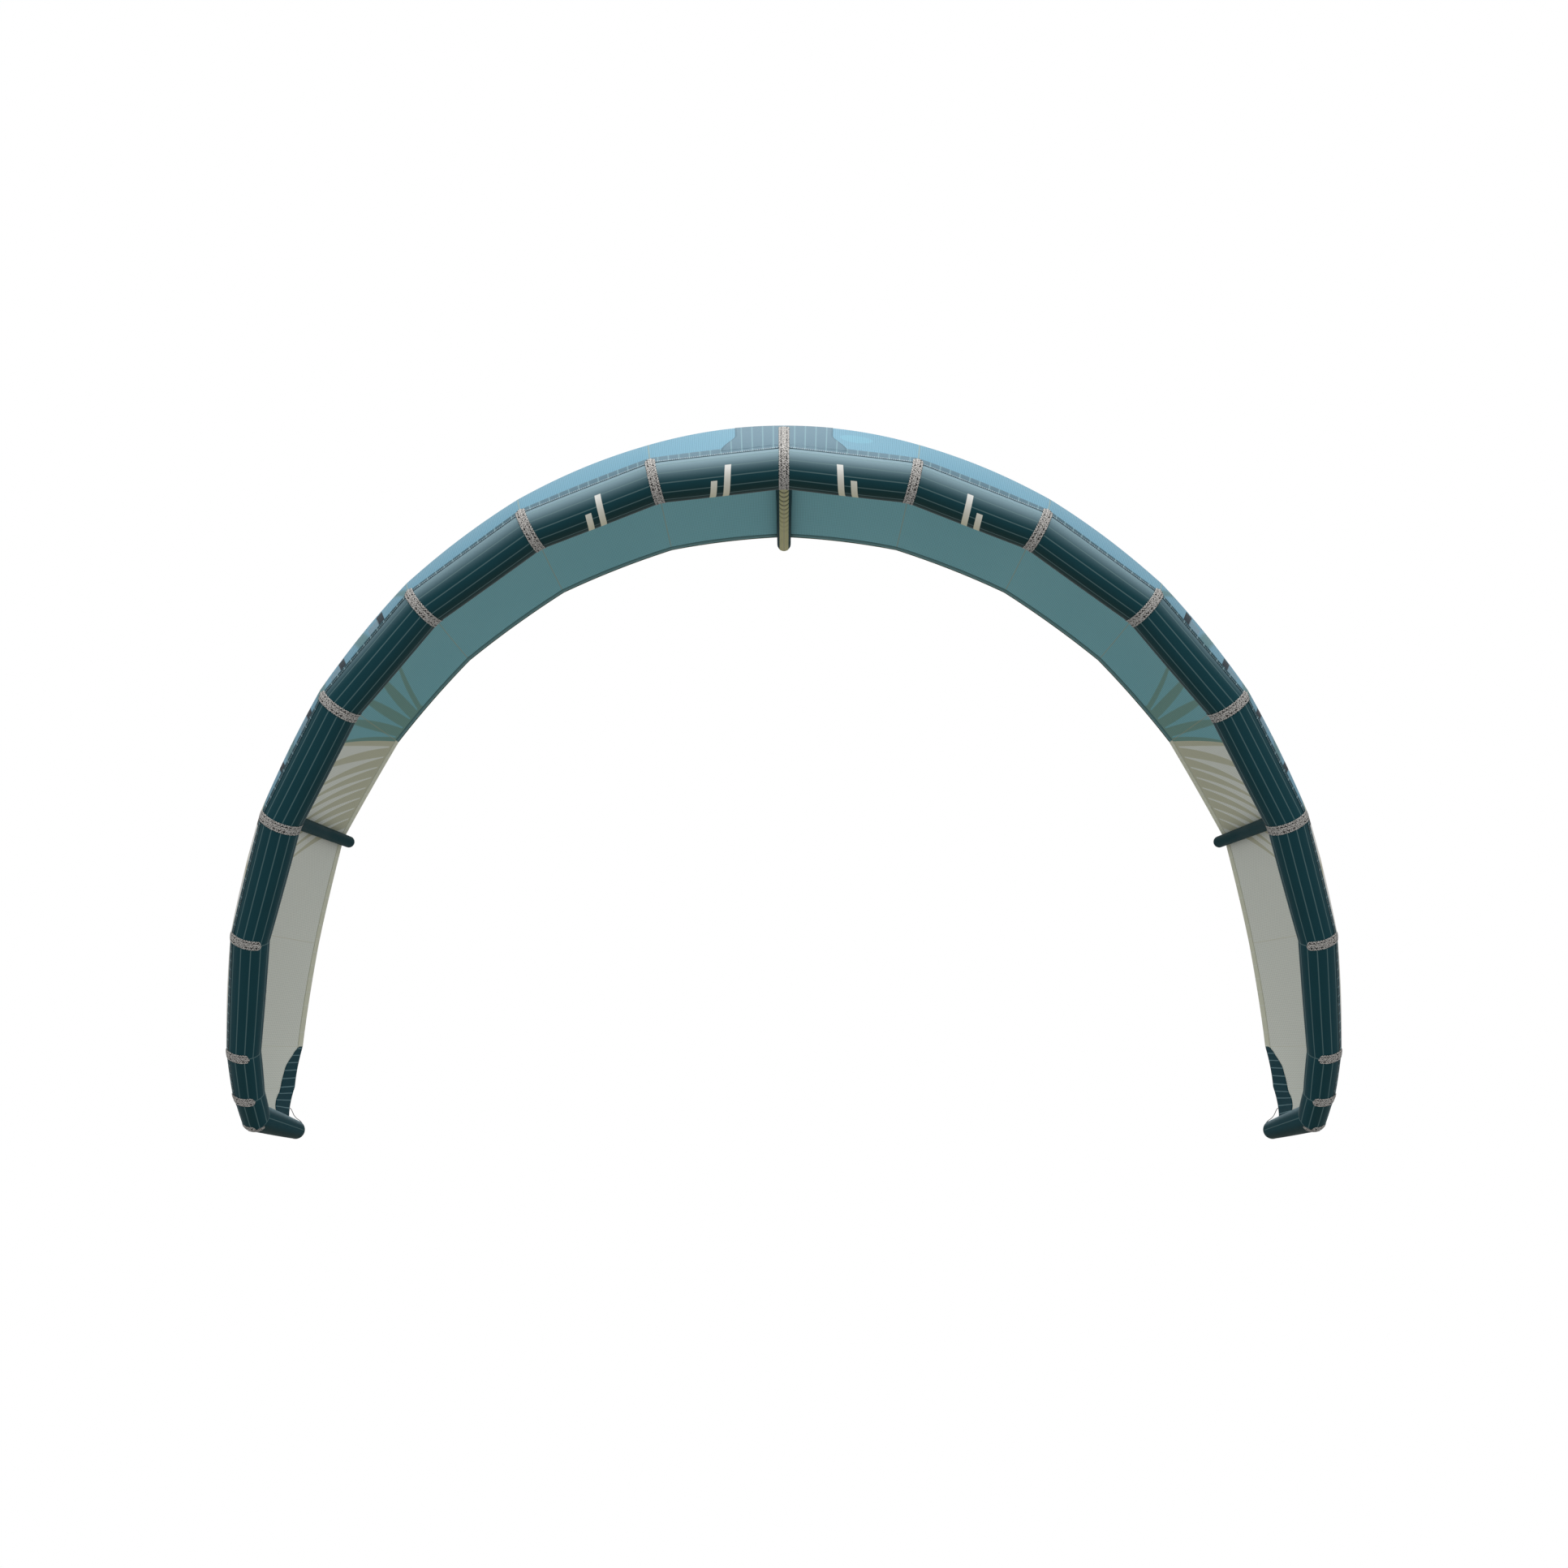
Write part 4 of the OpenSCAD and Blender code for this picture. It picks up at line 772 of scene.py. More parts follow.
def canopy_material(name, top):
    """Ripstop cloth: light blue in the middle, off-white at the sides, with a fan of bands between them. The
    underside copy (top False) has lighter, bluer colours: painted light in place of light shining through
    the cloth.
    """
    g = Graph(name)
    u, t = g.uv("design")
    span, chord = g.uv("metric")
    s = g.abs(u - 0.5) * DESIGN_SPAN
    where = g.join(span, chord)
    cloud = g.noise(where, 2.2, 3.0)
    fine = g.noise(where, 420.0, 1.0)
    white = 1 - g.below(s, (1 - t) * 1.05 + 3.995, 0.006)
    # the underside gets lighter, bluer cloth, fan bands and threads as painted light
    blue = BLUE_TOP if top else BLUE_UNDER_PAINTED_LIGHT
    pale = WHITE_TOP if top else WHITE_UNDER_PAINTED_LIGHT
    colour = g.colour(cloud * 0.35, blue, rgb(106, 153, 176) if top else rgb(114, 174, 184))
    light = g.colour(cloud * 0.25, pale, rgb(220, 220, 210))
    inside, wedge = fan_wedges(g, s, t)
    band = inside * (1 - wedge)
    band_on_blue = rgb(84, 116, 96) if top else rgb(112, 144, 122)
    band_on_white = rgb(196, 194, 168) if top else rgb(196, 194, 164)
    colour = g.colour(band * (0.55 if top else 0.75), colour, band_on_blue)
    light = g.colour(band * 0.9, light, band_on_white)
    colour = g.colour(white, colour, light)
    if top:
        colour = top_print(g, colour, s, t, span, chord)
    along_chord = g.line(span, THREAD_SPAN, THREAD_W, 0.0012)
    along_span = g.line(chord, THREAD_CHORD, THREAD_W, 0.0012)
    threads = g.either(along_chord, along_span)
    shade = g.colour(white, rgb(58, 98, 120) if top else rgb(70, 118, 124), rgb(168, 168, 156))
    colour = g.colour(threads * 0.4, colour, shade)
    seam = g.both(g.below(g.abs(g.fract(s + 0.5) - 0.5), 0.0042, 0.002), g.below(s, 8.5, 0.01))
    colour = g.colour(seam * 0.6, colour, g.colour(white, rgb(150, 156, 134), rgb(210, 208, 188)))
    g.bump(threads * 1.5 + seam * 3.0 + fine, 0.0004, 0.2)
    return g.finish(colour, cloud * 0.16 + 0.46, specular=0.15)


HEM_W = 0.038
HEM_FOLD_W = 0.011
HEM_LIGHT_W = 0.0035
HEM_DASH_PITCH = 0.066


def hem_material():
    """Folded hem: green-blue with a dark outer fold, off-white past seam 4 and dark at the tips."""
    g = Graph("hem_cloth")
    u, _ = g.uv("design")
    span, chord = g.uv("metric")
    edge, _ = g.uv("edge")
    s = g.abs(u - 0.5) * DESIGN_SPAN
    white = 1 - g.below(s, 4.0, 0.01)
    tip = 1 - g.below(s, 7.03, 0.01)
    cloud = g.noise(g.join(span, chord), 8.0, 3.0)
    colour = g.colour(cloud * 0.4, rgb(84, 124, 126), rgb(98, 140, 142))
    fold_start = HEM_W - HEM_FOLD_W
    colour = g.colour(1 - g.below(edge, fold_start, 0.001), colour, rgb(66, 84, 66))
    light_line = g.band(edge, fold_start - HEM_LIGHT_W, fold_start, ROW_EDGE)
    colour = g.colour(light_line, colour, rgb(140, 190, 198))
    colour = g.colour(white, colour, g.colour(cloud * 0.4, rgb(222, 222, 200), rgb(212, 211, 190)))
    dash = g.line(span, HEM_DASH_PITCH, 0.006, 0.002)
    colour = g.colour(g.both(dash, white) * 0.6, colour, rgb(228, 228, 216))
    row = g.band(edge, 0.003, 0.0052, ROW_EDGE)
    colour = g.colour(row * 0.7, colour, g.colour(white, rgb(50, 76, 70), rgb(160, 160, 140)))
    colour = g.colour(tip, colour, rgb(18, 62, 70))
    g.bump(weave(g, span, chord) * 0.4 + row * -2.0, 0.0004, 0.3)
    return g.finish(colour, cloud * 0.2 + 0.5, specular=0.15)


ZIGZAG_PITCH = 0.0092
ZIGZAG_SLOPE = 0.0110
ZIGZAG_ROWS = ((0.0010, 0.0012), (0.0136, 0.0011))


def patch_material():
    """Grey woven patch: a speckled weave between zigzag rows."""
    g = Graph("woven_patch")
    along, over = g.uv("metric")
    where = g.join(along, over)
    speck = g.noise(where, 145.0, 2.0, 0.7)
    coarse = g.noise(where, 60.0, 1.0)
    colour = g.colour(g.below(speck, 0.5, 0.05), rgb(178, 176, 173), rgb(34, 33, 32))
    colour = g.colour(coarse * 0.15, colour, rgb(120, 117, 113))
    teeth = g.abs(g.fract(along / ZIGZAG_PITCH) - 0.5) * ZIGZAG_SLOPE
    rows = [g.below(g.abs(g.abs(over) - start - teeth), width, 0.0006) for start, width in ZIGZAG_ROWS]
    zigzag = g.either(*rows)
    colour = g.colour(zigzag * 0.85, colour, rgb(226, 222, 216))
    g.bump(speck + zigzag * 1.5, 0.0006, 0.5)
    return g.finish(colour, coarse * 0.2 + 0.6, specular=0.15)


FOLD_PITCH = 0.048
FOLD_W = 0.017
FOLD_CURVE = 32.0


def wear_material():
    """Khaki cloth with curved cross folds on its front part, darkened as painted shade in their creases, and
    a seam along its middle.
    """
    g = Graph("wear_strip")
    along, over = g.uv("metric")
    where = g.join(along, over)
    cloud = g.noise(where, 12.0, 3.0)
    colour = g.colour(cloud * 0.4, rgb(196, 190, 142), rgb(180, 176, 132))
    shaded_folds = g.line(along + over * over * FOLD_CURVE, FOLD_PITCH, FOLD_W, 0.008)
    front = g.below(along, 1.30, 0.36)
    # painted shade: the folds' creases are coloured dark
    colour = g.colour(shaded_folds * front * 0.85, colour, rgb(84, 88, 62))
    centre = g.below(g.abs(over), 0.0014, 0.0008)
    colour = g.colour(centre * 0.6, colour, rgb(150, 150, 142))
    g.bump(weave(g, along, over) * 0.4 - shaded_folds * front * 2.0, 0.0005, 0.7)
    return g.finish(colour, cloud * 0.2 + 0.5, specular=0.2, sheen=0.03)


def plain_material(name, base, other, scale, rough, specular=0.5):
    """Moulded plastic, rubber or film, from object coordinates."""
    g = Graph(name)
    where = g.place()
    cloud = g.noise(where, scale, 3.0)
    fine = g.noise(where, scale * 12, 2.0)
    colour = g.colour(cloud * 0.7, base, other)
    g.bump(fine, 0.0002, 0.6)
    return g.finish(colour, fine * 0.18 + rough, specular=specular)


RIB_PITCH_ON_WEBBING = 0.0022
PLY_PITCH = 0.0016


def webbing_material(name, base, other):
    """Flat ribbed webbing, from object coordinates."""
    g = Graph(name)
    where = g.place()
    x, y, z = g.split(where)
    rib = weave(g, x + y + z, x - z, RIB_PITCH_ON_WEBBING)
    colour = g.colour(rib * 0.4 + 0.4, base, other)
    g.bump(rib, 0.0004, 0.8)
    return g.finish(colour, g.noise(where, 80.0) * 0.2 + 0.6, specular=0.3, sheen=0.2)


def braid_material():
    """Grey braid of two crossing plies."""
    g = Graph("tip_cord_braid")
    along, around = g.uv("metric")
    ply = weave(g, along + around, along - around, PLY_PITCH)
    colour = g.colour(ply * 0.4 + 0.4, rgb(142, 138, 134), rgb(94, 92, 90))
    g.bump(ply, 0.0002, 0.5)
    return g.finish(colour, g.noise(g.join(along, around), 200.0) * 0.15 + 0.6, specular=0.2)


braid = braid_material()
for sign, side in SIDES:
    tip_cord(sign, side)

# ---------------- leading edge tube
# mesh steps, and how far the cloth draws in at the seams and swells between them, in metres
AROUND = 96
TUBE_STEP = 0.012
PUCKER_REACH = 0.022
PUCKER = 0.0007
PUCKER_WAVE = 0.0006
SWELL = 0.0008
END_STEPS = 16


def cone_ring(k, turns, at):
    """Points on tube panel k. at runs from 0 at its inner mitre to 1 at its outer mitre."""
    u = panel_dir(k)
    back, out = frame_on(u)
    r0, r1 = tube_r(k - 1), tube_r(k)
    length = panel_length(k)
    slope = (r1 - r0) / length
    d = round_dirs(turns, -back, out)
    dn0, dn1 = d @ seam_along(k - 1), d @ seam_along(k)
    s0 = -r0 * dn0 / (u @ seam_along(k - 1) + slope * dn0)
    s1 = length - r1 * dn1 / (u @ seam_along(k) + slope * dn1)
    s = mix(s0, s1, at)
    radius = r0 + slope * s
    return SEAMS[k - 1] + s[:, None] * u + radius[:, None] * d, s, d


def painted_highlight_level(k):
    """1 where the tube is level at seam k, so that painted highlight spreads further down from its top, and
    0 where it is steep.
    """
    return float(smooth((cosd(seam_lean(k)) - 0.5) / 0.45))


def painted_light_pairs(normals, level=0.0):
    """Painted highlight on the upper side and painted shade on the lower side, from the cloth's outward
    directions.
    """
    up = normals[:, 2]
    painted_highlight = smooth((up - mix(0.2, -0.35, level)) / mix(0.7, 1.2, level)) ** mix(1.5, 1.2, level)
    return pairs(painted_highlight, smooth((-up - 0.25) / 0.65) * 0.8)


def tube_side(sign, side):
    """Every panel of one half of the tube, as separate closed rings of cloth that meet at the seams."""
    points, faces, metric, panels, painted_light, slots, start = [], [], [], [], [], [], 0
    rng = np.random.default_rng(7)
    turns = np.linspace(-1.5 * math.pi, 0.5 * math.pi, AROUND + 1)
    for k in range(1, SEAM_COUNT + 1):
        steps = max(10, int(panel_length(k) / TUBE_STEP))
        phase = rng.uniform(0, math.tau, 6)
        shift = rng.uniform(-0.01, 0.01)
        for i in range(steps + 1):
            at = i / steps
            ring, s, d = cone_ring(k, turns, at)
            to_seam = np.minimum(at, 1 - at) * panel_length(k)
            wave = np.sin(23 * turns + phase[0]) * np.sin(9 * turns + phase[1])
            pucker = math.exp(-to_seam / PUCKER_REACH) * (PUCKER + PUCKER_WAVE * wave)
            points.append(ring + d * (SWELL * math.sin(math.pi * at) - pucker)[:, None])
            around = turns * mix(tube_r(k - 1), tube_r(k), 0.5)
            metric.append(pairs(s, around + (shift if k > 2 else 0)))
            panels.append(pairs(k / PANEL_SPAN, to_seam, AROUND + 1))
            painted_light.append(painted_light_pairs(d, mix(painted_highlight_level(k - 1), painted_highlight_level(k), at)))
        faces += grid_faces(steps + 1, AROUND + 1, start, flip=sign > 0)
        slots += [1 if k == SEAM_COUNT else 0] * (steps * AROUND)
        start += (steps + 1) * (AROUND + 1)
    axis = panel_dir(SEAM_COUNT)
    for ring, outward, way in round_end(SEAMS[SEAM_COUNT], TIP_R, d, axis, END_STEPS, first=0):
        points.append(ring)
        metric.append(pairs(panel_length(SEAM_COUNT) + way, turns * TIP_R))
        panels.append(pairs((SEAM_COUNT + 1) / PANEL_SPAN, way + 0.0005, AROUND + 1))
        painted_light.append(painted_light_pairs(outward))
    faces += grid_faces(END_STEPS + 1, AROUND + 1, start, flip=sign > 0)
    slots += [1] * (END_STEPS * AROUND)
    layers = {"metric": metric, "panel": panels, "painted_light": painted_light}
    layers = {key: np.concatenate(value) for key, value in layers.items()}
    points = np.concatenate(points) * vec(sign, 1, 1)
    obj = add_mesh(f"air_tube_{side}", points, faces, layers, [tube_cloth, tip_cloth], slots)
    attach(obj, "kite")
    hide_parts(f"leading_edge_casing_{side}", f"centre_tube_panel_{side}")
    return obj


tube_cloth = tube_material("tube_cloth", bars=True)
tip_cloth = tube_material("tip_cloth", lines=False, tip_line=True, specular=0.04)
tubes = [tube_side(sign, side) for sign, side in SIDES]
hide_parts("tip_end_caps")


# ---------------- woven patches over the seams
# lengths in metres. PATCH_ENDS gives the turn round the tube, in degrees, where each seam's patch ends
PATCH_HALF = 0.0195
PATCH_T = 0.0008
PATCH_LIFT = 0.0009
PATCH_STEP = 0.0035
PATCH_COLS = 14
PATCH_START = 62
PATCH_ENDS = {0: -150, 1: -118, 2: -118, 3: -118, 4: -118, 5: -118, 6: -46, 7: -27, 8: -28, 9: -4}
PATCH_ON_SAIL = {0: 0.30, CORNER: 0}
PATCH_ON_SAIL_REST = 0.034
PATCH_SAIL_LIFT = 0.0034
PATCH_STEP_OVER = 0.0018


def patch_on_sail(k, over, back):
    """A patch point over the canopy, the distance back from the seam where canopy and tube meet."""
    spot = k + over / panel_length(k + 1 if over > 0 or k == 0 else k)
    t = edge_share(k, back, nose_length)
    p = sail_point(spot, t)
    run = sail_point(spot, t + 0.004) - p
    return p + across(arc_out(k), unit(run)) * PATCH_SAIL_LIFT


def patch_on_tube(k, over, turn, lift):
    """A patch point on the tube panel that over, the distance past seam k, falls on."""
    panel, side_sign = (k if over < 0 else k + 1), 1
    if panel == 0:
        panel, side_sign = 1, -1
    at_seam, away = (1.0, -1) if panel == k else (0.0, 1)
    ring, _, d = cone_ring(panel, np.array([turn]), at_seam)
    p = ring[0] + abs(over) * away * panel_dir(panel) + d[0] * lift
    return p * vec(side_sign, 1, 1)


def patch_grid(k):
    """A strip with round ends over seam k: columns across the seam, rows from the canopy round the tube."""
    high, low = (PATCH_START if k == CORNER else 90 - ATTACH - 1), PATCH_ENDS[k]
    r = tube_r(k)
    on_sail = PATCH_ON_SAIL.get(k, PATCH_ON_SAIL_REST)
    length = on_sail + math.radians(high - low) * r
    rows = max(16, int(length / PATCH_STEP))
    grid = np.zeros((rows + 1, PATCH_COLS + 1, 3))
    metric = np.zeros((rows + 1, PATCH_COLS + 1, 2))
    for i in range(rows + 1):
        at = i / rows * length
        inset = min(at, length - at)
        half = PATCH_HALF * math.sqrt(max(0.04, 1 - (1 - min(1, inset / PATCH_HALF)) ** 2))
        turn = math.radians(high) - (at - on_sail) / r
        step_over = PATCH_STEP_OVER * (1 - smooth((at - on_sail) / 0.02)) if on_sail else 0
        lift = PATCH_LIFT + PATCH_T / 2 + step_over
        for j in range(PATCH_COLS + 1):
            over = mix(-half, half, j / PATCH_COLS)
            if at >= on_sail:
                grid[i, j] = patch_on_tube(k, over, turn, lift)
            else:
                grid[i, j] = patch_on_sail(k, over, on_sail - at)
            metric[i, j] = (at, over)
    return grid, {"metric": metric}


def patches(sign, side):
    pieces = []
    for k in range(1, CORNER + 1):
        grid, layers = patch_grid(k)
        grid = grid * vec(sign, 1, 1)
        if sign < 0:
            grid = grid[:, ::-1]
            layers = {key: value[:, ::-1] for key, value in layers.items()}
        pieces.append((grid, layers))
    obj = add_sheet(f"woven_patches_{side}", pieces, PATCH_T, [woven, woven])
    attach(obj, "kite")
    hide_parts(f"seam_patches_{side}")


woven = patch_material()
for sign, side in SIDES:
    patches(sign, side)
centre_patch = add_sheet("woven_patch_centre", [patch_grid(0)], PATCH_T, [woven, woven])
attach(centre_patch, "kite")
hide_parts("centre_seam_patch")


# ---------------- canopy
# mesh steps, and each layer's thickness, width and height over the middle of the cloth, in metres.
# FRONT is the chord share where the cloth starts.
CLOTH_T = 0.0006
SPAN_STEPS = 22
STRIP_SPAN_STEPS = 12
CHORD_ROWS = 90
FRONT = 0.002
TAPE_W = 0.044
TAPE_SIDE_W = 0.020
TAPE_END_W = 0.012
TAPE_T = 0.0008
TAPE_LIFT = 0.0016
HEM_T = 0.0022
HEM_LIFT = 0.0008


def stations(first, last, steps=SPAN_STEPS):
    """Span stations with every seam among them."""
    return [k + j / steps for k in range(first, last) for j in range(steps)] + [last]


half_stations = stations(0, CORNER)
row_shares = [mix(FRONT, 0.999, (i / CHORD_ROWS) ** 1.25) for i in range(CHORD_ROWS + 1)]
sail, sail_uv = sail_grid([-s for s in half_stations[:0:-1]] + half_stations, lambda s: row_shares)
canopy_top = canopy_material("canopy_cloth_top", True)
# the underside copy is painted lighter, as painted light
canopy_under_painted_light = canopy_material("canopy_cloth_under_painted_light", False)
canopy = add_sheet("canopy", [(sail, sail_uv)], CLOTH_T, [canopy_top, canopy_under_painted_light], lift=0.0005)
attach(canopy, "kite")
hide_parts(*[f"canopy_panel_{k}_{side}" for k in range(1, CORNER + 1) for side in ("left", "right")])


def edge_and_painted_highlight(grid):
    """Pairs of the distance back from the first row, in metres, and how much painted highlight the cloth
    gets, more where it faces up.
    """
    step = np.linalg.norm(np.diff(grid, axis=0), axis=2)
    run = np.concatenate([np.zeros((1, grid.shape[1])), np.cumsum(step, axis=0)])
    normal = np.cross(np.gradient(grid, axis=1), np.gradient(grid, axis=0))
    up = np.abs(normal[:, :, 2]) / np.linalg.norm(normal, axis=2)
    return np.stack([run, smooth((up - 0.35) / 0.6) ** 1.5], axis=2)


def strip_piece(name, sign, shares, thickness, lift, cloth):
    line = [sign * s for s in stations(0, CORNER, STRIP_SPAN_STEPS)][::sign]
    grid, layers = sail_grid(line, shares)
    layers["edge"] = edge_and_painted_highlight(grid)
    return add_sheet(name, [(grid, layers)], thickness, [cloth, cloth], lift)


def tape_shares(s):
    """The joining strip narrows between stations 1.2 and 2.8, and again on the last panel."""
    to_side = mix(TAPE_W, TAPE_SIDE_W, smooth((abs(s) - 1.2) / 1.6))
    width = mix(to_side, TAPE_END_W, smooth(abs(s) - (CORNER - 1)))
    end = blend(lambda k: edge_share(k, width, nose_length), s)
    return [end * i / 6 for i in range(7)]


def hem_shares(s):
    start = 1 - blend(lambda k: edge_share(k, HEM_W, tail_length), s)
    return [mix(start, 1.0, i / 5) for i in range(6)]


# the second colour is the painted highlight on upward-facing parts
strip_cloth = strip_material("joining_strip", rgb(103, 131, 145))
hem_cloth = hem_material()
for sign, side in SIDES:
    tape = strip_piece(f"joining_strip_{side}", sign, tape_shares, TAPE_T, TAPE_LIFT, strip_cloth)
    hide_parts(f"join_tape_{side}")
    hem = strip_piece(f"edge_hem_{side}", sign, hem_shares, HEM_T, HEM_LIFT, hem_cloth)
    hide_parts(f"trailing_edge_hem_{side}")
    for piece in (tape, hem):
        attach(piece, "kite")


# dark corner panels at the wing tips: the chord shares where they start, by station, and their two layers
CORNER_STATIONS = [7.0, 7.12, 7.22, 7.34, 7.48, 7.65, 7.77, 8.15, 8.83, 9.0]
CORNER_FRONTS = [0.975, 0.949, 0.939, 0.919, 0.899, 0.888, 0.878, 0.848, 0.726, 0.69]
CORNER_COLS = 40
CORNER_LIFTS = ((0.0024, "outer"), (-0.0009, "inner"))


def corner_shares(s):
    start = float(np.interp(abs(s), CORNER_STATIONS, CORNER_FRONTS))
    return [mix(start, 0.996, i / 12) for i in range(13)]


# the second colour is the painted highlight on upward-facing parts
corner_cloth = strip_material("corner_cloth", rgb(30, 84, 94), front_rows=False)
for sign, side in SIDES:
    line = [sign * (7 + 2 * i / CORNER_COLS) for i in range(CORNER_COLS + 1)][::sign]
    grid, layers = sail_grid(line, corner_shares)
    along_edge = np.linalg.norm(np.diff(grid[-1], axis=0), axis=1)
    layers["metric"][:, 1:, 0] = np.cumsum(along_edge)
    layers["metric"][:, 0, 0] = 0.0
    layers["edge"] = edge_and_painted_highlight(grid)
    for lift, word in CORNER_LIFTS:
        name = f"corner_panel_{word}_{side}"
        piece = add_sheet(name, [(grid, layers)], TAPE_T, [corner_cloth, corner_cloth], lift)
        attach(piece, "kite")
    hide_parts(f"tip_corner_panel_{side}")


# centre reinforcement: a second layer whose sides flare into the strip. Its front and end are chord shares.
LAYER_STEPS = 44
LAYER_FRONT = 0.016
LAYER_END = 0.30
LAYER_HALF = 0.176
LAYER_FLARE = 0.056
LAYER_TAPER = 0.05


def centre_layer():
    count = LAYER_STEPS + 1
    grid = np.zeros((count, count, 3))
    design = np.zeros((count, count, 2))
    metric = np.zeros((count, count, 2))
    for i in range(count):
        t = mix(LAYER_FRONT, LAYER_END, i / LAYER_STEPS)
        flare = LAYER_FLARE * (1 - smooth((t - LAYER_FRONT) / 0.10))
        half = LAYER_HALF + flare - LAYER_TAPER * smooth((t - LAYER_END + 0.03) / 0.03)
        for j in range(count):
            x = mix(-half, half, j / LAYER_STEPS)
            s = x / panel_length(1)
            grid[i, j] = sail_point(s, t)
            design[i, j] = (0.5 + s / DESIGN_SPAN, t)
            metric[i, j] = (x, t * ROOT_CHORD)
    layers = {"design": design, "metric": metric, "edge": edge_and_painted_highlight(grid)}
    # the stitch rows belong to the strip alone
    layers["edge"][:, :, 0] = 1.0
    return grid, layers


centre_piece = add_sheet("centre_layer", [centre_layer()], TAPE_T, [strip_cloth, strip_cloth], TAPE_LIFT)
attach(centre_piece, "kite")
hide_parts("centre_reinforcement")

backward, outward = sail[1:, :-1] - sail[:-1, :-1], sail[:-1, 1:] - sail[:-1, :-1]
2 * run_to(CORNER)


# ---------------- struts
# front and rear radius and the chord rows of the knots, by seam
STRUT_R = {0: (0.044, 0.030), STRUT_SEAM: (0.035, 0.025)}
STRUT_ROWS = {0: (3, 6, 9, 12), STRUT_SEAM: (4, 8, 12)}
CHORD_STEPS = 14
STRUT_GAP = 0.0003
STRUT_ROOT_BACK = 0.35
STRUT_ROOT_OUT = 0.3
STRUT_TAIL_PAST = 0.006
CLOTH_FALL = 6
STRUT_FRONT_W = 0.026
STRUT_REAR_W = 0.024
BEND_REACH = 0.05
BEND_STEPS = 6
STRUT_STEP = 0.015
STRUT_AROUND = 48
STRUT_END_STEPS = 12
# how much painted shade the struts get
STRUT_PAINTED_SHADE = 0.35


def quadratic(a, b, c, t):
    return (1 - t) ** 2 * a + 2 * (1 - t) * t * b + t * t * c


def strut_line(k):
    """Centre points and radii of a strut, from inside the tube to its round end, with rounded knots."""
    front, rear = STRUT_R[k]
    q = RIBS[k]

    def under(t):
        out = across(arc_out(k), cubic_slope(q, t))
        return cubic(q, t) - out * (mix(front, rear, t) / cosd(half_turn(k) + CLOTH_FALL) + STRUT_GAP)

    first = edge_share(k, STRUT_FRONT_W + STRUT_GAP, nose_length)
    last = 1 - edge_share(k, STRUT_REAR_W + STRUT_GAP, tail_length)
    shares = [mix(first, last, row / CHORD_STEPS) for row in STRUT_ROWS[k]]
    out = frame_on(seam_along(k))[1]
    root = STRUT_ROOT_BACK * across(rib_back(k), out) + STRUT_ROOT_OUT * out
    knots = [SEAMS[k] + tube_r(k) * root] + [under(t) for t in shares]
    knots.append(under(1) + STRUT_TAIL_PAST * cubic_slope(q, 1))
    knot_r = [front] + [mix(front, rear, t) for t in shares] + [rear]
    points, radii = [knots[0]], [knot_r[0]]
    for i in range(1, len(knots) - 1):
        before = BEND_REACH / np.linalg.norm(knots[i] - knots[i - 1])
        after = BEND_REACH / np.linalg.norm(knots[i + 1] - knots[i])
        start, stop = mix(knots[i], knots[i - 1], before), mix(knots[i], knots[i + 1], after)
        r0, r1 = mix(knot_r[i], knot_r[i - 1], before), mix(knot_r[i], knot_r[i + 1], after)
        for step in range(BEND_STEPS + 1):
            points.append(quadratic(start, knots[i], stop, step / BEND_STEPS))
            radii.append(quadratic(r0, knot_r[i], r1, step / BEND_STEPS))
    return dense(points + [knots[-1]], radii + [rear])


def dense(points, radii):
    """The same line, with its long parts cut into steps of about STRUT_STEP."""
    out_p, out_r = [points[0]], [radii[0]]
    for p0, p1, r0, r1 in zip(points, points[1:], radii, radii[1:]):
        count = max(1, int(np.linalg.norm(p1 - p0) / STRUT_STEP))
        for step in range(1, count + 1):
            out_p.append(mix(p0, p1, step / count))
            out_r.append(mix(r0, r1, step / count))
    return out_p, out_r


def strut(k, sign, name, node):
    points, radii = strut_line(k)
    turns = np.linspace(0, math.tau, STRUT_AROUND + 1)
    rings, metric = path_rings(points, radii, seam_along(k), turns)
    run = metric[-1][0, 0]
    d = path_dirs(points)[-1]
    x = across(seam_along(k), d)
    dirs = round_dirs(turns, x, np.cross(d, x))
    for ring, _, way in round_end(points[-1], radii[-1], dirs, d, STRUT_END_STEPS):
        rings.append(ring)
        metric.append(pairs(run + way, turns * radii[0]))
    faces = grid_faces(len(rings), STRUT_AROUND + 1, flip=sign > 0)
    metric = np.concatenate(metric)
    # no seam is near, and the whole strut is in the shade of the canopy, so it gets painted shade and no
    # painted highlight
    layers = {"metric": metric, "panel": metric * 0 + 0.9, "painted_light": pairs(0.0, STRUT_PAINTED_SHADE, len(metric))}
    obj = add_mesh(name, np.concatenate(rings) * vec(sign, 1, 1), faces, layers, [strut_cloth])
    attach(obj, "kite")
    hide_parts(node)
    return obj


strut_cloth = tube_material("strut_cloth", lines=False, specular=0.03)
centre_strut = strut(0, 1, "air_strut_centre", "centre_strut_casing")
for sign, side in SIDES:
    strut(STRUT_SEAM, sign, f"air_strut_{side}", f"side_strut_casing_{side}")
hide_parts("strut_end_caps")

WEAR_START = 0.105
WEAR_HALF = 0.021
WEAR_T = 0.0007
WEAR_COLS = 14
WEAR_END_ROWS = 14
WEAR_END_TURN = 118
WEAR_SQUARE_ROWS = 8


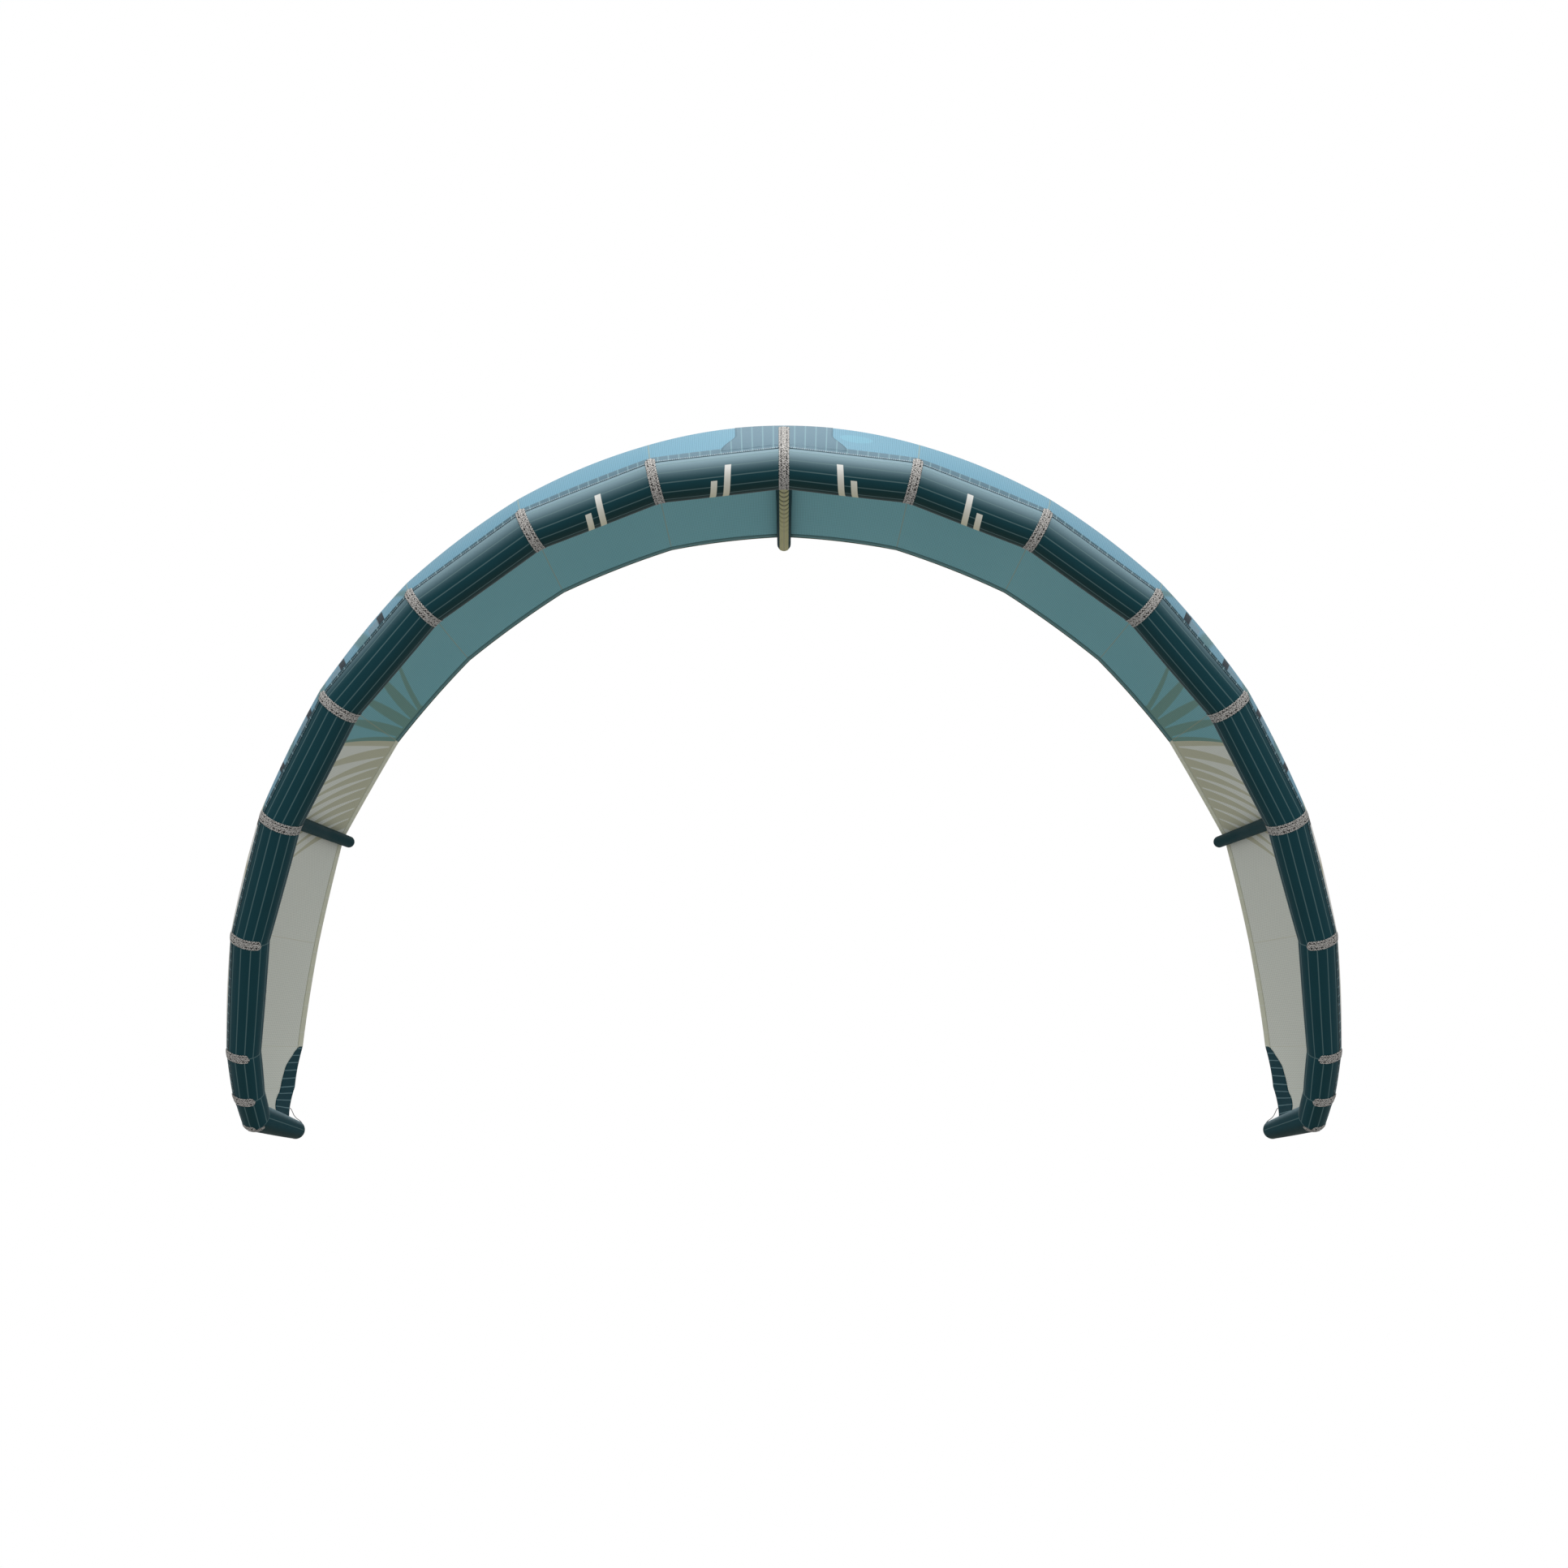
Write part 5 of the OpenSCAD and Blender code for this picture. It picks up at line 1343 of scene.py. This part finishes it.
def wear_strip():
    """Cloth band along the underside of the centre strut and up round its end, where it narrows."""
    points, radii = strut_line(0)
    rows, metric, run, last = [], [], 0.0, None
    for p, r, d in zip(points, radii, path_dirs(points)):
        if p[1] < WEAR_START:
            continue
        run += np.linalg.norm(p - last) if last is not None else 0
        last = p
        down = across(-Z, d)
        turns = np.linspace(-WEAR_HALF / r, WEAR_HALF / r, WEAR_COLS + 1)
        rows.append(p + (r + WEAR_T) * round_dirs(turns, down, X))
        metric.append(pairs(run, turns * r))
    for i in range(1, WEAR_END_ROWS + 1):
        turn = math.radians(WEAR_END_TURN) * i / WEAR_END_ROWS
        narrow = math.sqrt(max(0.1, 1 - (max(0, i - WEAR_SQUARE_ROWS) / 6.3) ** 2))
        turns = np.linspace(-WEAR_HALF / r * narrow, WEAR_HALF / r * narrow, WEAR_COLS + 1)
        toward = math.cos(turn) * down + math.sin(turn) * d
        rows.append(p + (r + WEAR_T) * round_dirs(turns, toward, X))
        metric.append(pairs(run + r * turn, turns * r))
    return np.array(rows)[:, ::-1], {"metric": np.array(metric)[:, ::-1]}


khaki_cloth = wear_material()
strip = add_sheet("wear_band", [wear_strip()], WEAR_T, [khaki_cloth, khaki_cloth])
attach(strip, "kite")
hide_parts("centre_strut_wear_strip")


# ---------------- CAD pieces that stay
plastic = plain_material("black_plastic", rgb(34, 36, 39), rgb(48, 50, 53), 60.0, 0.34)
rubber = plain_material("hose_rubber", rgb(40, 42, 44), rgb(56, 58, 60), 90.0, 0.46, specular=0.35)
film = plain_material("bladder_film", rgb(206, 212, 210), rgb(188, 196, 196), 20.0, 0.22)
webbing = webbing_material("loop_webbing", rgb(38, 39, 42), rgb(62, 64, 68))


def cad_finish(name):
    """The material of a CAD node that stays in view."""
    if "bladder" in name or name == "valve_flap":
        return film
    if name.startswith("air_hose"):
        return rubber
    return webbing if "loops" in name else plastic


for name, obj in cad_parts.items():
    if not obj.hide_render:
        obj.data.materials.clear()
        obj.data.materials.append(cad_finish(name))


# ---------------- light
def pick_camera(tree, lit, seen):
    """Light with one shader, and show the camera another."""
    path = add_node(tree, "LightPath")
    feeds = {0: path.outputs["Is Camera Ray"], 1: lit.outputs[0], 2: seen.outputs[0]}
    return add_node(tree, "MixShader", feeds)


def studio_world():
    """White to the camera. It lights the kite with a soft grey that is darkest at eye level."""
    world = bpy.data.worlds.new("studio")
    world.use_nodes = True
    tree = world.node_tree
    tree.nodes.clear()
    parts = add_node(tree, "SeparateXYZ", {0: add_node(tree, "TexCoord").outputs["Generated"]})
    height = add_node(tree, "Math", {0: parts.outputs["Z"], 1: 0.5, 2: 0.5}, operation="MULTIPLY_ADD")
    ramp = add_node(tree, "ValToRGB", {0: height.outputs[0]})
    floor_stop, sky_stop = ramp.color_ramp.elements
    floor_stop.position = 0.0
    floor_stop.color = (0.60, 0.60, 0.59, 1)
    sky_stop.position = 0.9
    sky_stop.color = (0.92, 0.93, 0.94, 1)
    ramp.color_ramp.elements.new(0.5).color = (0.50, 0.50, 0.50, 1)
    lit = add_node(tree, "Background", {0: ramp.outputs[0], 1: 0.95})
    white = add_node(tree, "Background", {0: (1, 1, 1, 1), 1: 1.0})
    add_node(tree, "OutputWorld", {0: pick_camera(tree, lit, white).outputs[0]})
    return world


def area_light(name, place, target, size, power):
    data = bpy.data.lights.new(name, "AREA")
    data.shape = "DISK"
    data.size = size
    data.energy = power
    obj = bpy.data.objects.new(name, data)
    obj.location = place
    obj.rotation_euler = (Vector(target) - Vector(place)).to_track_quat("-Z", "Y").to_euler()
    scene.collection.objects.link(obj)


def floor_material():
    """Pale and matt for the light, white to the camera and open from below."""
    paint = bpy.data.materials.new("pale_floor")
    paint.use_nodes = True
    tree = paint.node_tree
    tree.nodes.clear()
    matt = add_node(tree, "BsdfDiffuse", {"Color": (0.46, 0.46, 0.455, 1)})
    top = pick_camera(tree, matt, add_node(tree, "Emission"))
    below = add_node(tree, "BsdfTransparent")
    facing = add_node(tree, "NewGeometry").outputs["Backfacing"]
    both = add_node(tree, "MixShader", {0: facing, 1: top.outputs[0], 2: below.outputs[0]})
    add_node(tree, "OutputMaterial", {0: both.outputs[0]})
    return paint


scene.world = studio_world()
area_light("key", (0, -2.2, 5.9), (0, 0.2, -0.6), size=5.0, power=240)
area_light("top_rear", (0, 2.8, 5.6), (0, 0.0, -0.4), size=3.0, power=100)

# a floor under the flying kite, just below the camera's view
FLOOR_Z = -6.3
FLOOR_R = 6.0
FLOOR_SIDES = 96
turns = np.linspace(0, math.tau, FLOOR_SIDES + 1)[:-1]
rim = [(FLOOR_R * math.cos(turn), FLOOR_R * math.sin(turn), FLOOR_Z) for turn in turns]
floor_mesh = bpy.data.meshes.new("floor")
floor_mesh.from_pydata(rim, [], [tuple(range(FLOOR_SIDES))])
floor_mesh.materials.append(floor_material())
floor = bpy.data.objects.new("floor", floor_mesh)
scene.collection.objects.link(floor)


scene.view_settings.view_transform = "Standard"
